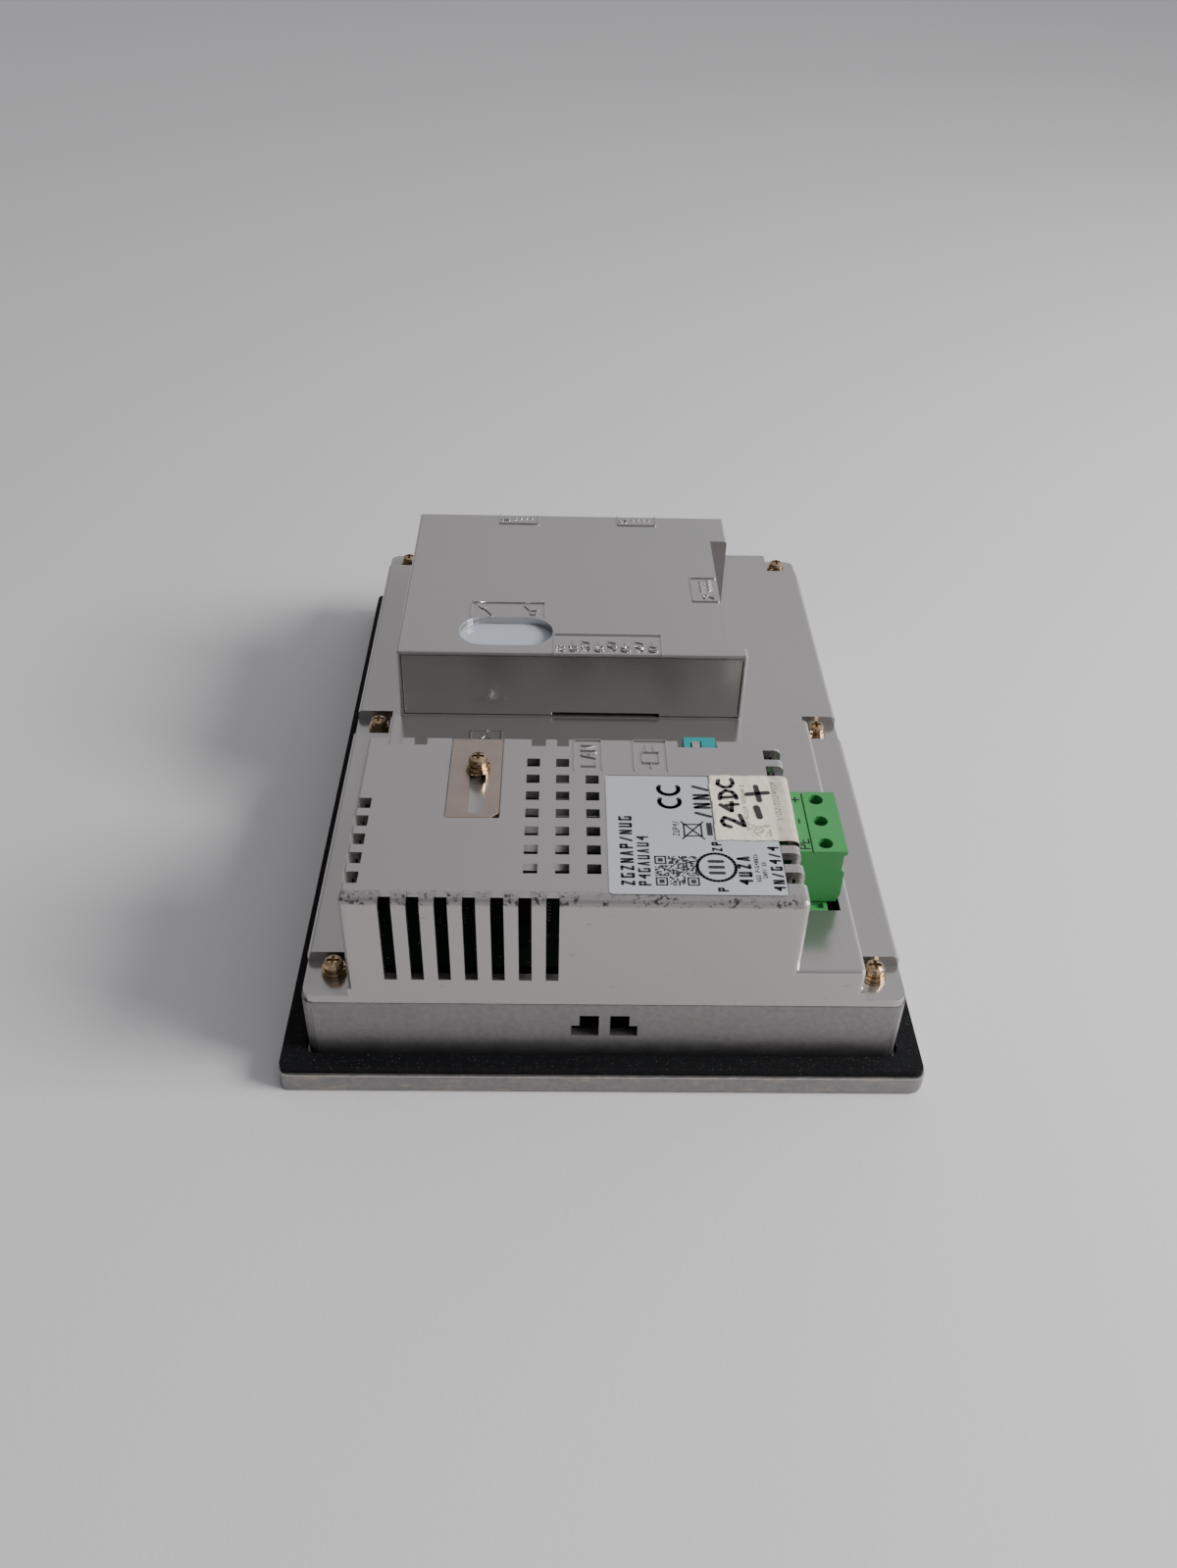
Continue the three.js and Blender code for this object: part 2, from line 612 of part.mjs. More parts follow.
comPorts.forEach(({ x, y }, i) => {
  addPart(`com_connector_${i + 1}`, 'tinPlate', serialConnector()
    .translate([x, y - skin - 1.3, comShell.z]));
});
addPart('com_connector_3', 'tinPlate', serialConnector()
  .rotate([0, 0, -90])
  .translate([comBay.x + 0.7 - comShell.reach, 130.4, comShell.z]));

// ---- pluggable power terminal ----
const poles = [-1, 0, 1].map((k) => terminal.y + k * terminal.pitch);
const headerMouth = nearBox.x1 - 0.8;
const foot = { x0: clearance.x0 + gap, x1: 123.9, y0: clearance.y0 + gap, y1: 28.1, top: plateauTop - 0.3 };
addPart('terminal_header', 'greenPlastic', cut(
  union([
    box(headerMouth - 11.6, headerMouth, header.y0, header.y1, terminal.z0, terminal.z1 - 1.2),
    box(headerMouth - 11.6, carrier.nearX1, header.y0, header.y1, boardTop, terminal.z0 + 1),
    box(carrier.nearX1 - 1, foot.x1, foot.y0 + 2.2, foot.y1, boardTop, boardTop + 0.9),
    box(foot.x0, foot.x1, foot.y0, foot.y1, boardTop, foot.top),
  ]),
  [
    box(foot.x0 + 1, foot.x1 - 1, foot.y0 + 0.8, foot.y1 - 0.8, foot.top - 0.9, foot.top + 1),
    box(headerMouth - 10, headerMouth + 1, header.y0 + 1.2, header.y1 - 1.2, terminal.z0 + 2,
      terminal.z1 - 2.4),
  ],
));
const wireEntry = { half: 2.3, z0: terminal.z0 + 2.2, z1: terminal.z0 + 8.2 };
const clampPocket = { x0: 118.8, x1: 124.8, half: 2.35 };
const screwWell = 1.75;
const screwDepth = 3.4;        // below the plug's top
const plugProfile = new THREE.Shape();
plugProfile.moveTo(terminal.x0, terminal.z0);
plugProfile.lineTo(terminal.x1 - 0.8, terminal.z0);
plugProfile.lineTo(terminal.x1, terminal.z0 + 2);
plugProfile.lineTo(terminal.x1, terminal.z0 + 8.9);
plugProfile.lineTo(terminal.x1 - 0.7, terminal.z0 + 9.6);
plugProfile.lineTo(terminal.x1 - 0.7, terminal.z1 - 1.4);
plugProfile.lineTo(terminal.x1, terminal.z1 - 0.9);
plugProfile.lineTo(terminal.x1, terminal.z1);
plugProfile.lineTo(118.9, terminal.z1);
plugProfile.lineTo(118.9, terminal.z1 - 0.5);
plugProfile.lineTo(118.5, terminal.z1 - 0.5);
plugProfile.lineTo(118.5, terminal.z1);
plugProfile.lineTo(terminal.x0, terminal.z1);
plugProfile.closePath();
const plugGeometry = new THREE.ExtrudeGeometry(plugProfile, {
  depth: terminal.length - 0.8,
  bevelEnabled: false,
});
plugGeometry.rotateX(Math.PI / 2);
plugGeometry.translate(0, header.y1 - 0.4, 0);
addPart('terminal_plug', 'greenPlastic', cut(
  union([
    solid(plugGeometry),
    box(headerMouth - 9, terminal.x0 + 1, header.y0 + 1.6, header.y1 - 1.6, terminal.z0 + 2.4,
      terminal.z1 - 2.8),
  ]),
  poles.flatMap((y) => [
    box(clampPocket.x0, terminal.x1 + 1, y - wireEntry.half, y + wireEntry.half, wireEntry.z0,
      wireEntry.z1),
    box(clampPocket.x0, clampPocket.x1, y - clampPocket.half, y + clampPocket.half, terminal.z0 + 1,
      wireEntry.z1 + 1.4),
    cylinder(121.8, y, terminal.z0 + 5, terminal.z1 + 1, screwWell),
    box(headerMouth - 10, headerMouth - 2, y - 1.2, y + 1.2, terminal.z0 + 6, terminal.z0 + 8.4),
  ]),
));

// Slotted or crossed recess in the top of a screw head.
function crossRecess(x, y, top, reach, width, depth) {
  return union([
    box(x - reach, x + reach, y - width / 2, y + width / 2, top - depth, top + 1),
    box(x - width / 2, x + width / 2, y - reach, y + reach, top - depth, top + 1),
  ]);
}

poles.forEach((y, i) => {
  const top = terminal.z1 - screwDepth;
  addPart(`terminal_screw_${i + 1}`, 'nickel', turned(121.8, y, [
    [0, terminal.z0 + 5.4], [0.9, terminal.z0 + 5.4], [1.1, terminal.z0 + 5.8],
    [1.1, top - 1.5], [1.45, top - 1.3], [1.45, top - 0.3], [1.2, top], [0, top],
  ]).subtract(box(120.2, 123.4, y - 0.28, y + 0.28, top - 0.8, top + 1)));
  const cageTop = wireEntry.z1 + 0.9;
  const cage = box(119.3, 124.3, y - 2.05, y + 2.05, cageTop - 4.9, cageTop);
  addPart(`wire_clamp_${i + 1}`, 'tinPlate', cut(cage, [
    box(119, 125, y - 1.5, y + 1.5, cageTop - 4, cageTop - 1.2),
    cylinder(121.8, y, cageTop - 4.2, cageTop + 1, 1.35, 12),
  ]));
});

// ---- sliding plate that keeps the programming cable in, with its screw ----
const plateTop = boxTop - lockRecess + 0.15 + lockPlate.thick;
const plateShape = new THREE.Shape();
plateShape.moveTo(lockPlate.x0, lockPlate.y0);
plateShape.lineTo(lockPlate.x1 - 1.8, lockPlate.y0);
plateShape.lineTo(lockPlate.x1, lockPlate.y0 + 1.8);
plateShape.lineTo(lockPlate.x1, lockPlate.y1);
plateShape.lineTo(lockPlate.x0, lockPlate.y1);
plateShape.closePath();
const plateGeometry = new THREE.ExtrudeGeometry(plateShape, {
  depth: lockPlate.thick,
  bevelEnabled: false,
});
plateGeometry.translate(0, 0, plateTop - lockPlate.thick);
const slotHalf = lockPlate.slot / 2;
addPart('lock_plate', 'nickel', solid(plateGeometry).subtract(slab(
  lockScrew.x - slotHalf,
  lockScrew.x + slotHalf,
  lockPlate.y0 + 1.3,
  lockScrew.y + slotHalf,
  40,
  60,
  slotHalf - 0.02,
  4,
)));

// Pan-head cross-recess screw on a split spring washer and a flat washer.
function fastener(x, y, seat, names, size) {
  const flatTop = seat + stackGap + 0.6;
  const springTop = flatTop + stackGap + 0.9;
  const head = springTop + stackGap;
  const r = size.head;
  addPart(names[0], 'screwPlate', turned(x, y, [
    [0, head - size.reach], [0.9, head - size.reach], [size.shank, head - size.reach + 0.8],
    [size.shank, head], [r, head], [r, head + 0.9], [r * 0.86, head + 1.6], [r * 0.5, head + 2],
    [0, head + 2.1],
  ]).subtract(crossRecess(x, y, head + 2.1, r * 0.62, 0.7, 1.2)));
  addPart(names[1], 'screwPlate', ring(x, y, flatTop + stackGap, springTop, size.shank + 0.25, 2.65)
    .subtract(box(x, x + 4, y - 0.3, y + 0.3, seat, springTop + 1)));
  addPart(names[2], 'screwPlate', ring(x, y, seat + stackGap, flatTop, size.shank + 0.3, 2.85));
}

fastener(
  lockScrew.x,
  lockScrew.y,
  plateTop,
  ['lock_screw', 'lock_spring_washer', 'lock_flat_washer'],
  { head: 2.25, shank: 1.45, reach: 8 },
);
housingScrews.forEach(({ x, y }, i) => {
  const n = i + 1;
  fastener(
    x,
    y,
    pocketFloor,
    [`housing_screw_${n}`, `housing_spring_washer_${n}`, `housing_flat_washer_${n}`],
    { head: 2.25, shank: 1.45, reach: 11 },
  );
});

// ---- rating label and the strip of marking tape folded over the edge ----
const labelZ = boxTop - label.recess + 0.05;
addPart('rating_label', 'labelFilm', slab(
  label.x0,
  label.x1,
  label.y0,
  label.y1,
  labelZ,
  labelZ + label.thick,
  0.6,
  2,
));
const tape = { x0: 96.4, x1: 115.15, y0: 24.7, y1: 47.2, thick: 0.2 };
const tapeZ = labelZ + label.thick + 0.1;
addPart('marking_tape', 'tapePaper', union([
  box(tape.x0, nearBox.x1 - nearBox.edge, tape.y0, tape.y1, tapeZ, tapeZ + tape.thick),
  tapeFold(),
]));

// Tape follows the rounded edge of the near box and hangs a little down its side.
function tapeFold() {
  const radius = nearBox.edge + tapeZ - boxTop;
  const hub = { x: nearBox.x1 - nearBox.edge, z: boxTop - nearBox.edge };
  const fold = new THREE.Shape();
  const steps = 4;
  const at = (r, i) => {
    const angle = (Math.PI / 2) * (1 - i / steps);
    return [hub.x + r * Math.cos(angle), hub.z + r * Math.sin(angle)];
  };
  fold.moveTo(hub.x - 0.5, hub.z + radius);
  range(steps + 1).forEach((i) => fold.lineTo(...at(radius, i)));
  fold.lineTo(hub.x + radius, 51.3);
  fold.lineTo(hub.x + radius + tape.thick, 51.3);
  range(steps + 1).forEach((i) => fold.lineTo(...at(radius + tape.thick, steps - i)));
  fold.lineTo(hub.x - 0.5, hub.z + radius + tape.thick);
  fold.closePath();
  const geometry = new THREE.ExtrudeGeometry(fold, {
    depth: tape.y1 - tape.y0,
    bevelEnabled: false,
  });
  geometry.rotateX(Math.PI / 2);
  geometry.translate(0, tape.y1, 0);
  return solid(geometry);
}

const group = new THREE.Group();
group.name = 'touch_panel';
group.add(assembly);

export default group;
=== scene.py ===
import math
import random

import bmesh
import bpy
from mathutils import Matrix, Vector


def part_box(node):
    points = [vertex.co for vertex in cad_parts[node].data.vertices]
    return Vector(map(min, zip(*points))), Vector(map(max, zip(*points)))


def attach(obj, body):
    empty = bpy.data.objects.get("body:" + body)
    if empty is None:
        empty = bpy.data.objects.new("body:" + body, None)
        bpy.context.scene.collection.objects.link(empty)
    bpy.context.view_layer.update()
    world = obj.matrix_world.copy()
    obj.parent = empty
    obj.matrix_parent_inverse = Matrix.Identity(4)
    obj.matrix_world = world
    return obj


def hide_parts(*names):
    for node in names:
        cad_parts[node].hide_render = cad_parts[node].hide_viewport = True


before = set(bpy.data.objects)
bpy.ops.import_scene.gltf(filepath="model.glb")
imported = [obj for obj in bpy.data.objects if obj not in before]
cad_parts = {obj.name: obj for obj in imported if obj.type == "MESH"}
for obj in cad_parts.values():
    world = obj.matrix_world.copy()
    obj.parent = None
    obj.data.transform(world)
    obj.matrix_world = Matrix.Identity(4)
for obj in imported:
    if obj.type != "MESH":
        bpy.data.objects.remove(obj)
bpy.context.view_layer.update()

# ---------------------------------------------------------------- frame and units
# Lengths below are in millimetres from the bezel's near left corner, as on a drawing;
# at() turns them into the row frame.
MM = 0.001
BEZEL_LOW, BEZEL_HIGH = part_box("front_frame")
BODY = "panel"


def at(x, y, z):
    return Vector((BEZEL_LOW.x + x * MM, BEZEL_LOW.y + y * MM, z * MM))


def local(point):
    """A row-frame point back in drawing millimetres."""
    return (
        (point[0] - BEZEL_LOW.x) / MM,
        (point[1] - BEZEL_LOW.y) / MM,
        point[2] / MM,
    )


LID_Z = local(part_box("rear_housing")[1])[2]
LABEL_LOW, LABEL_HIGH = (local(p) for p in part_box("rating_label"))
TAPE_LOW, TAPE_HIGH = (local(p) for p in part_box("marking_tape"))
PLUG_LOW, PLUG_HIGH = (local(p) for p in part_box("terminal_plug"))
VALLEY_Z = 34.5
NEAR_BOX_RIGHT = 114.8
BEZEL_MIDDLE = (73.25, 102.5)

# ---------------------------------------------------------------- materials
class Paint:
    """A small builder round one Principled material."""

    def __init__(self, name, colour, roughness, metallic=0.0, **sockets):
        self.material = bpy.data.materials.new(name)
        self.material.use_nodes = True
        self.tree = self.material.node_tree
        self.shader = self.tree.nodes["Principled BSDF"]
        self.shader.inputs["Base Color"].default_value = (*colour, 1)
        self.shader.inputs["Roughness"].default_value = roughness
        self.shader.inputs["Metallic"].default_value = metallic
        for key, value in sockets.items():
            self.shader.inputs[key.replace("_", " ")].default_value = value
        self.colour = None
        self.rough = None
        self.base = (*colour, 1)
        self.base_rough = roughness
        self.height = None
        coords = self.tree.nodes.new("ShaderNodeTexCoord")
        self.coords = coords.outputs["Object"]

    def node(self, kind, inputs=None, **props):
        made = self.tree.nodes.new(kind)
        for key, value in props.items():
            setattr(made, key, value)
        for key, value in (inputs or {}).items():
            self.feed(made.inputs[key], value)
        return made

    def feed(self, socket, value):
        if isinstance(value, bpy.types.NodeSocket):
            self.tree.links.new(value, socket)
        else:
            socket.default_value = value

    def stretched(self, scale, turn=(0, 0, 0)):
        mapping = self.node(
            "ShaderNodeMapping", {"Vector": self.coords, "Scale": scale, "Rotation": turn}
        )
        return mapping.outputs["Vector"]

    def noise(self, scale, detail=2.0, rough=0.5, vector=None):
        made = self.node(
            "ShaderNodeTexNoise",
            {
                "Vector": vector or self.coords,
                "Scale": scale,
                "Detail": detail,
                "Roughness": rough,
            },
        )
        return made.outputs["Fac"]

    def ramp(self, value, low, high, start=0.0, end=1.0):
        made = self.node(
            "ShaderNodeMapRange",
            {"Value": value, "From Min": low, "From Max": high, "To Min": start, "To Max": end},
        )
        return made.outputs["Result"]

    def math(self, operation, a, b=0.0):
        made = self.node("ShaderNodeMath", operation=operation)
        self.feed(made.inputs[0], a)
        self.feed(made.inputs[1], b)
        return made.outputs["Value"]

    def tint(self, factor, colour):
        """Mixes a colour over what is there, by a varying factor."""
        mix = self.node("ShaderNodeMix", data_type="RGBA")
        self.feed(mix.inputs["Factor"], factor)
        self.feed(mix.inputs["A"], self.colour or self.base)
        self.feed(mix.inputs["B"], (*colour, 1))
        self.colour = mix.outputs["Result"]
        self.tree.links.new(self.colour, self.shader.inputs["Base Color"])
        return self

    def gloss(self, factor, roughness):
        mix = self.node("ShaderNodeMix", data_type="FLOAT")
        self.feed(mix.inputs["Factor"], factor)
        self.feed(mix.inputs["A"], self.rough or self.base_rough)
        self.feed(mix.inputs["B"], roughness)
        self.rough = mix.outputs["Result"]
        self.tree.links.new(self.rough, self.shader.inputs["Roughness"])
        return self

    def bump(self, height, strength, distance):
        inputs = {"Height": height, "Strength": strength, "Distance": distance}
        if self.height:
            inputs["Normal"] = self.height
        made = self.node("ShaderNodeBump", inputs)
        self.height = made.outputs["Normal"]
        self.tree.links.new(self.height, self.shader.inputs["Normal"])
        return self

    def edges(self, radius, low=0.02, high=0.18):
        """1 on outside edges, 0 on flats: how far a bevelled normal leans from the true one."""
        bevel = self.node("ShaderNodeBevel", {"Radius": radius}, samples=6)
        geometry = self.node("ShaderNodeNewGeometry")
        dot = self.node("ShaderNodeVectorMath", operation="DOT_PRODUCT")
        self.feed(dot.inputs[0], bevel.outputs["Normal"])
        self.feed(dot.inputs[1], geometry.outputs["Normal"])
        lean = self.math("SUBTRACT", 1.0, dot.outputs["Value"])
        return self.ramp(lean, low, high)

    def facing(self, name, low, high):
        """1 where the surface faces along an axis."""
        geometry = self.node("ShaderNodeNewGeometry")
        split = self.node("ShaderNodeSeparateXYZ", {"Vector": geometry.outputs["Normal"]})
        return self.ramp(split.outputs[name], low, high)

    def between(self, name, start, end):
        """0 to 1 from one drawing position to another along an axis."""
        split = self.node("ShaderNodeSeparateXYZ", {"Vector": self.coords})
        low, high = (getattr(at(mm, mm, mm), name.lower()) for mm in (start, end))
        return self.ramp(split.outputs[name], low, high)


def scuffed(paint, scale, low, high):
    """Patchy mask for scuffs."""
    return paint.ramp(paint.noise(scale, 6, 0.65), low, high)


def silver_paint():
    p = Paint("silver_paint", (0.43, 0.413, 0.404), 0.18, 0.86)
    p.tint(p.ramp(p.noise(9, 3), 0.3, 0.7, 0.0, 0.35), (0.385, 0.37, 0.362))
    p.tint(p.ramp(p.noise(5200, 1), 0.35, 0.75, 0.0, 0.14), (0.58, 0.56, 0.56))
    p.gloss(p.ramp(p.noise(60, 4), 0.3, 0.7), 0.24)
    wear = p.math("MULTIPLY", p.edges(0.0007), scuffed(p, 420, 0.52, 0.62))
    # the near box's scuffed upper edge
    band = p.math("MULTIPLY", p.between("Z", 53.0, 53.6), p.between("Y", 8.6, 7.0))
    speckle = scuffed(p, 900, 0.52, 0.58)
    patches = p.math("MULTIPLY", band, p.math("MULTIPLY", scuffed(p, 160, 0.42, 0.52), speckle))
    p.tint(p.math("MULTIPLY", band, 0.55), (0.27, 0.262, 0.255))
    p.gloss(p.math("MULTIPLY", band, 0.8), 0.42)
    p.tint(p.math("MULTIPLY", patches, 0.95), (0.06, 0.056, 0.052))
    p.tint(p.math("MULTIPLY", wear, 0.4), (0.20, 0.19, 0.18))
    # painted highlight: edges facing +X, towards the window light, tinted near-white
    painted_edge_highlight = p.math("MULTIPLY", p.edges(0.001, 0.01, 0.08), p.facing("X", 0.05, 0.4))
    p.tint(p.math("MULTIPLY", painted_edge_highlight, 0.9), (0.95, 0.94, 0.93))
    # dark streaks on the near wall only
    marks = p.ramp(p.noise(1, 3, 0.6, p.stretched((260, 260, 900), (0, 0.25, 0.2))), 0.70, 0.72)
    marks = p.math("MULTIPLY", marks, p.between("Y", 6.2, 5.8))
    p.tint(p.math("MULTIPLY", marks, 0.5), (0.20, 0.19, 0.19))
    p.bump(p.noise(2600, 2), 0.10, 0.00004)
    p.bump(p.noise(110, 2), 0.05, 0.0002)
    p.bump(patches, 0.25, 0.00005)
    return p.material


def cast_metal():
    p = Paint("cast_metal", (0.228, 0.222, 0.221), 0.34, 0.80)
    p.tint(p.ramp(p.noise(700, 4, 0.6), 0.35, 0.7, 0.0, 0.5), (0.325, 0.315, 0.312))
    # grime and painted shade: darker towards the foot of the walls, above the bezel
    foot_grime_and_shade = p.math("MULTIPLY", p.between("Z", 12.5, 7.8), p.between("Z", 5.6, 6.0))
    p.tint(p.math("MULTIPLY", foot_grime_and_shade, 0.75), (0.10, 0.10, 0.105))
    # chips, a bright rim and stains on the bezel
    low = p.between("Z", 6.0, 5.2)
    chips = p.math("MULTIPLY", p.edges(0.0008), scuffed(p, 420, 0.44, 0.56))
    p.tint(p.math("MULTIPLY", p.math("MULTIPLY", chips, low), 0.9), (0.80, 0.78, 0.66))
    rim = p.math("MULTIPLY", p.edges(0.0009, 0.02, 0.12), low)
    p.tint(p.math("MULTIPLY", rim, 0.6), (0.62, 0.62, 0.60))
    stains = p.ramp(p.noise(1, 4, 0.6, p.stretched((160, 160, 420))), 0.56, 0.66)
    p.tint(p.math("MULTIPLY", p.math("MULTIPLY", stains, low), 0.3), (0.50, 0.45, 0.27))
    # worn upper edge
    dark_edge = p.math("MULTIPLY", p.edges(0.0005), scuffed(p, 260, 0.42, 0.52))
    dark_edge = p.math("MULTIPLY", dark_edge, p.between("Z", 22.2, 23.0))
    p.tint(p.math("MULTIPLY", dark_edge, 0.7), (0.10, 0.10, 0.10))
    p.tint(p.math("MULTIPLY", scuffed(p, 900, 0.62, 0.7), 0.3), (0.27, 0.265, 0.26))
    p.gloss(p.ramp(p.noise(240, 3), 0.3, 0.7), 0.46)
    p.bump(p.noise(1500, 5, 0.7), 0.5, 0.00016)
    p.bump(p.noise(260, 2), 0.25, 0.0003)
    return p.material


def gasket_rubber():
    p = Paint("gasket_rubber", (0.0034, 0.0038, 0.0046), 0.7, 0.0)
    p.shader.inputs["Specular IOR Level"].default_value = 0.16
    p.tint(p.ramp(p.noise(900, 5, 0.7), 0.45, 0.75, 0.0, 0.3), (0.012, 0.0135, 0.016))
    p.tint(p.ramp(p.noise(3000, 2), 0.66, 0.72, 0.0, 0.5), (0.16, 0.16, 0.16))
    p.bump(p.noise(3600, 3, 0.6), 0.5, 0.0001)
    return p.material


def overlay_film():
    p = Paint("overlay_film", (0.022, 0.025, 0.028), 0.42, 0.0)
    p.tint(p.ramp(p.noise(30, 3), 0.3, 0.7, 0.0, 0.4), (0.028, 0.031, 0.034))
    p.gloss(p.ramp(p.noise(90, 3), 0.35, 0.7), 0.5)
    p.bump(p.noise(5200, 2), 0.4, 0.00004)
    return p.material


def screen_glass():
    p = Paint("screen_glass", (0.006, 0.0065, 0.0075), 0.07, 0.0, Coat_Weight=0.6)
    p.tint(p.ramp(p.noise(6, 2), 0.3, 0.7, 0.0, 0.5), (0.009, 0.0095, 0.012))
    smear = p.ramp(p.noise(1, 4, 0.6, p.stretched((60, 18, 20), (0, 0, 0.7))), 0.5, 0.75)
    p.gloss(p.math("MULTIPLY", smear, 0.6), 0.2)
    return p.material


def plated_steel(name, colour, roughness, brushed):
    p = Paint(name, colour, roughness, 1.0)
    lines = p.noise(1, 4, 0.6, p.stretched(brushed))
    darker = tuple(c * 0.80 for c in colour)
    p.tint(p.ramp(p.noise(180, 4, 0.6), 0.4, 0.75, 0.0, 0.5), darker)
    p.gloss(p.ramp(lines, 0.3, 0.7), roughness + 0.14)
    p.bump(lines, 0.12, 0.00004)
    return p.material


def circuit_board():
    p = Paint("circuit_board", (0.005, 0.028, 0.013), 0.42, 0.0)
    grid = p.node(
        "ShaderNodeTexBrick",
        {"Vector": p.stretched((1, 1, 1)), "Scale": 260.0, "Mortar Size": 0.03},
    )
    p.tint(p.math("MULTIPLY", grid.outputs["Fac"], 0.7), (0.010, 0.055, 0.022))
    pads = p.node("ShaderNodeTexVoronoi", {"Vector": p.coords, "Scale": 420.0})
    p.tint(p.ramp(pads.outputs["Distance"], 0.14, 0.11), (0.22, 0.19, 0.13))
    p.bump(grid.outputs["Fac"], 0.3, 0.0001)
    return p.material


def moulded(name, colour, roughness, wear=None):
    p = Paint(name, colour, roughness, 0.0)
    darker = tuple(c * 0.8 for c in colour)
    p.tint(p.ramp(p.noise(70, 4, 0.6), 0.35, 0.7, 0.0, 0.5), darker)
    p.gloss(p.ramp(p.noise(300, 3), 0.35, 0.7), roughness + 0.12)
    if wear:
        p.tint(p.math("MULTIPLY", p.edges(0.0003), 0.35), wear)
    p.bump(p.noise(2600, 3), 0.22, 0.00006)
    return p.material


def label_film():
    p = Paint("label_film", (0.43, 0.445, 0.475), 0.33, 0.0)
    p.tint(p.ramp(p.noise(25, 4), 0.35, 0.7, 0.0, 0.6), (0.375, 0.395, 0.425))
    p.tint(p.math("MULTIPLY", scuffed(p, 700, 0.64, 0.70), 0.35), (0.30, 0.31, 0.325))
    p.gloss(p.ramp(p.noise(120, 3), 0.3, 0.7), 0.45)
    p.bump(p.noise(900, 2), 0.10, 0.00005)
    return p.material


def tape_paper():
    p = Paint("tape_paper", (0.76, 0.72, 0.585), 0.66, 0.0, Subsurface_Weight=0.05)
    p.shader.inputs["Subsurface Radius"].default_value = (0.0006, 0.0005, 0.0003)
    fold_shade_and_soil_region = p.between("X", 110.0, 110.7)
    p.tint(p.ramp(p.noise(140, 5, 0.65), 0.4, 0.75, 0.0, 0.55), (0.66, 0.61, 0.48))
    # painted shade: the tape from X 110.7 on, over the fold and down the side, is darkened
    p.tint(p.math("MULTIPLY", fold_shade_and_soil_region, 0.8), (0.50, 0.455, 0.385))
    soiled = p.math("MULTIPLY", scuffed(p, 600, 0.50, 0.66), fold_shade_and_soil_region)
    p.tint(p.math("MULTIPLY", soiled, 0.5), (0.34, 0.28, 0.24))
    p.tint(p.math("MULTIPLY", scuffed(p, 1200, 0.62, 0.72), 0.3), (0.45, 0.40, 0.31))
    crepe = p.noise(1, 3, 0.6, p.stretched((2600, 260, 800)))
    p.bump(crepe, 0.4, 0.0001)
    p.bump(p.noise(90, 3), 0.3, 0.0004)
    return p.material


def ink(name, colour, roughness=0.5):
    p = Paint(name, colour, roughness, 0.0)
    lighter = tuple(min(1, c + 0.05) for c in colour)
    p.tint(p.ramp(p.noise(2200, 4, 0.7), 0.5, 0.75, 0.0, 0.6), lighter)
    p.bump(p.noise(4000, 2), 0.15, 0.00002)
    return p.material


STEEL_GRAIN = (3000, 90, 3000)
MATERIALS = {
    "silver": silver_paint(),
    "cast": cast_metal(),
    "gasket": gasket_rubber(),
    "overlay": overlay_film(),
    "glass": screen_glass(),
    "tin": plated_steel("tin_plate", (0.56, 0.56, 0.57), 0.26, STEEL_GRAIN),
    "board": circuit_board(),
    "black": moulded("black_plastic", (0.012, 0.012, 0.014), 0.42),
    "teal": moulded("teal_plastic", (0.0, 0.25, 0.265), 0.36),
    "green": moulded("green_plastic", (0.043, 0.262, 0.070), 0.34, wear=(0.10, 0.38, 0.14)),
    "nickel": plated_steel("nickel_plate", (0.45, 0.37, 0.33), 0.33, (900, 60, 900)),
    "zinc": plated_steel("yellow_zinc", (0.50, 0.37, 0.235), 0.15, (900, 900, 2500)),
    "label": label_film(),
    "tape": tape_paper(),
    "film": moulded("pale_film", (0.43, 0.475, 0.53), 0.30),
    "flex": moulded("flex_film", (0.46, 0.19, 0.03), 0.35),
    "aluminium": plated_steel("aluminium", (0.60, 0.61, 0.62), 0.32, (200, 3000, 200)),
    "gold": plated_steel("gold_contacts", (0.80, 0.56, 0.20), 0.22, (2000, 2000, 400)),
    "print": ink("printing_ink", (0.012, 0.012, 0.014)),
    "marker": ink("marker_ink", (0.018, 0.017, 0.020), 0.38),
    "ghost": ink("show_through_ink", (0.47, 0.43, 0.35), 0.7),
    "lens": moulded("indicator_lens", (0.30, 0.42, 0.10), 0.12),
    "panel": moulded("display_panel", (0.028, 0.032, 0.038), 0.22),
}

SCREWS = [f"housing_screw_{i}" for i in range(1, 7)]
WASHERS = [f"housing_{kind}_washer_{i}" for kind in ("spring", "flat") for i in range(1, 7)]
FINISH_OF = {
    "silver": ["rear_housing", "option_cover"],
    "cast": ["front_frame"],
    "gasket": ["panel_gasket"],
    "overlay": ["front_overlay"],
    "glass": ["touch_glass"],
    "panel": ["lcd_module"],
    "tin": ["lan_jack", "usb_host_port", "usb_device_port", "aux_port_shell"]
    + [f"com_connector_{i}" for i in (1, 2, 3)]
    + [f"board_standoff_{i}" for i in range(1, 5)]
    + [f"wire_clamp_{i}" for i in (1, 2, 3)]
    + ["coin_cell"],
    "board": ["main_board", "carrier_board"],
    "black": ["power_capacitor", "speaker"],
    "teal": ["aux_port_insert"],
    "green": ["terminal_header", "terminal_plug"],
    "nickel": ["lock_plate"] + [f"terminal_screw_{i}" for i in (1, 2, 3)],
    "zinc": SCREWS + WASHERS + ["lock_screw", "lock_spring_washer", "lock_flat_washer"],
    "label": ["rating_label"],
    "tape": ["marking_tape"],
    "film": ["audio_window_film"],
    "flex": ["lcd_flat_cable"],
    "aluminium": ["heat_sink"],
}
EDGE_WIDTH = {
    "front_frame": 0.00025,
    "option_cover": 0.00015,
    "terminal_plug": 0.00018,
    "terminal_header": 0.00018,
    "lock_plate": 0.00012,
    "lock_screw": 0.0001,
    "lan_jack": 0.00015,
    "usb_host_port": 0.0001,
    "usb_device_port": 0.0001,
    "aux_port_insert": 0.00018,
    "panel_gasket": 0.00025,
    **{name: 0.0001 for name in SCREWS},
}


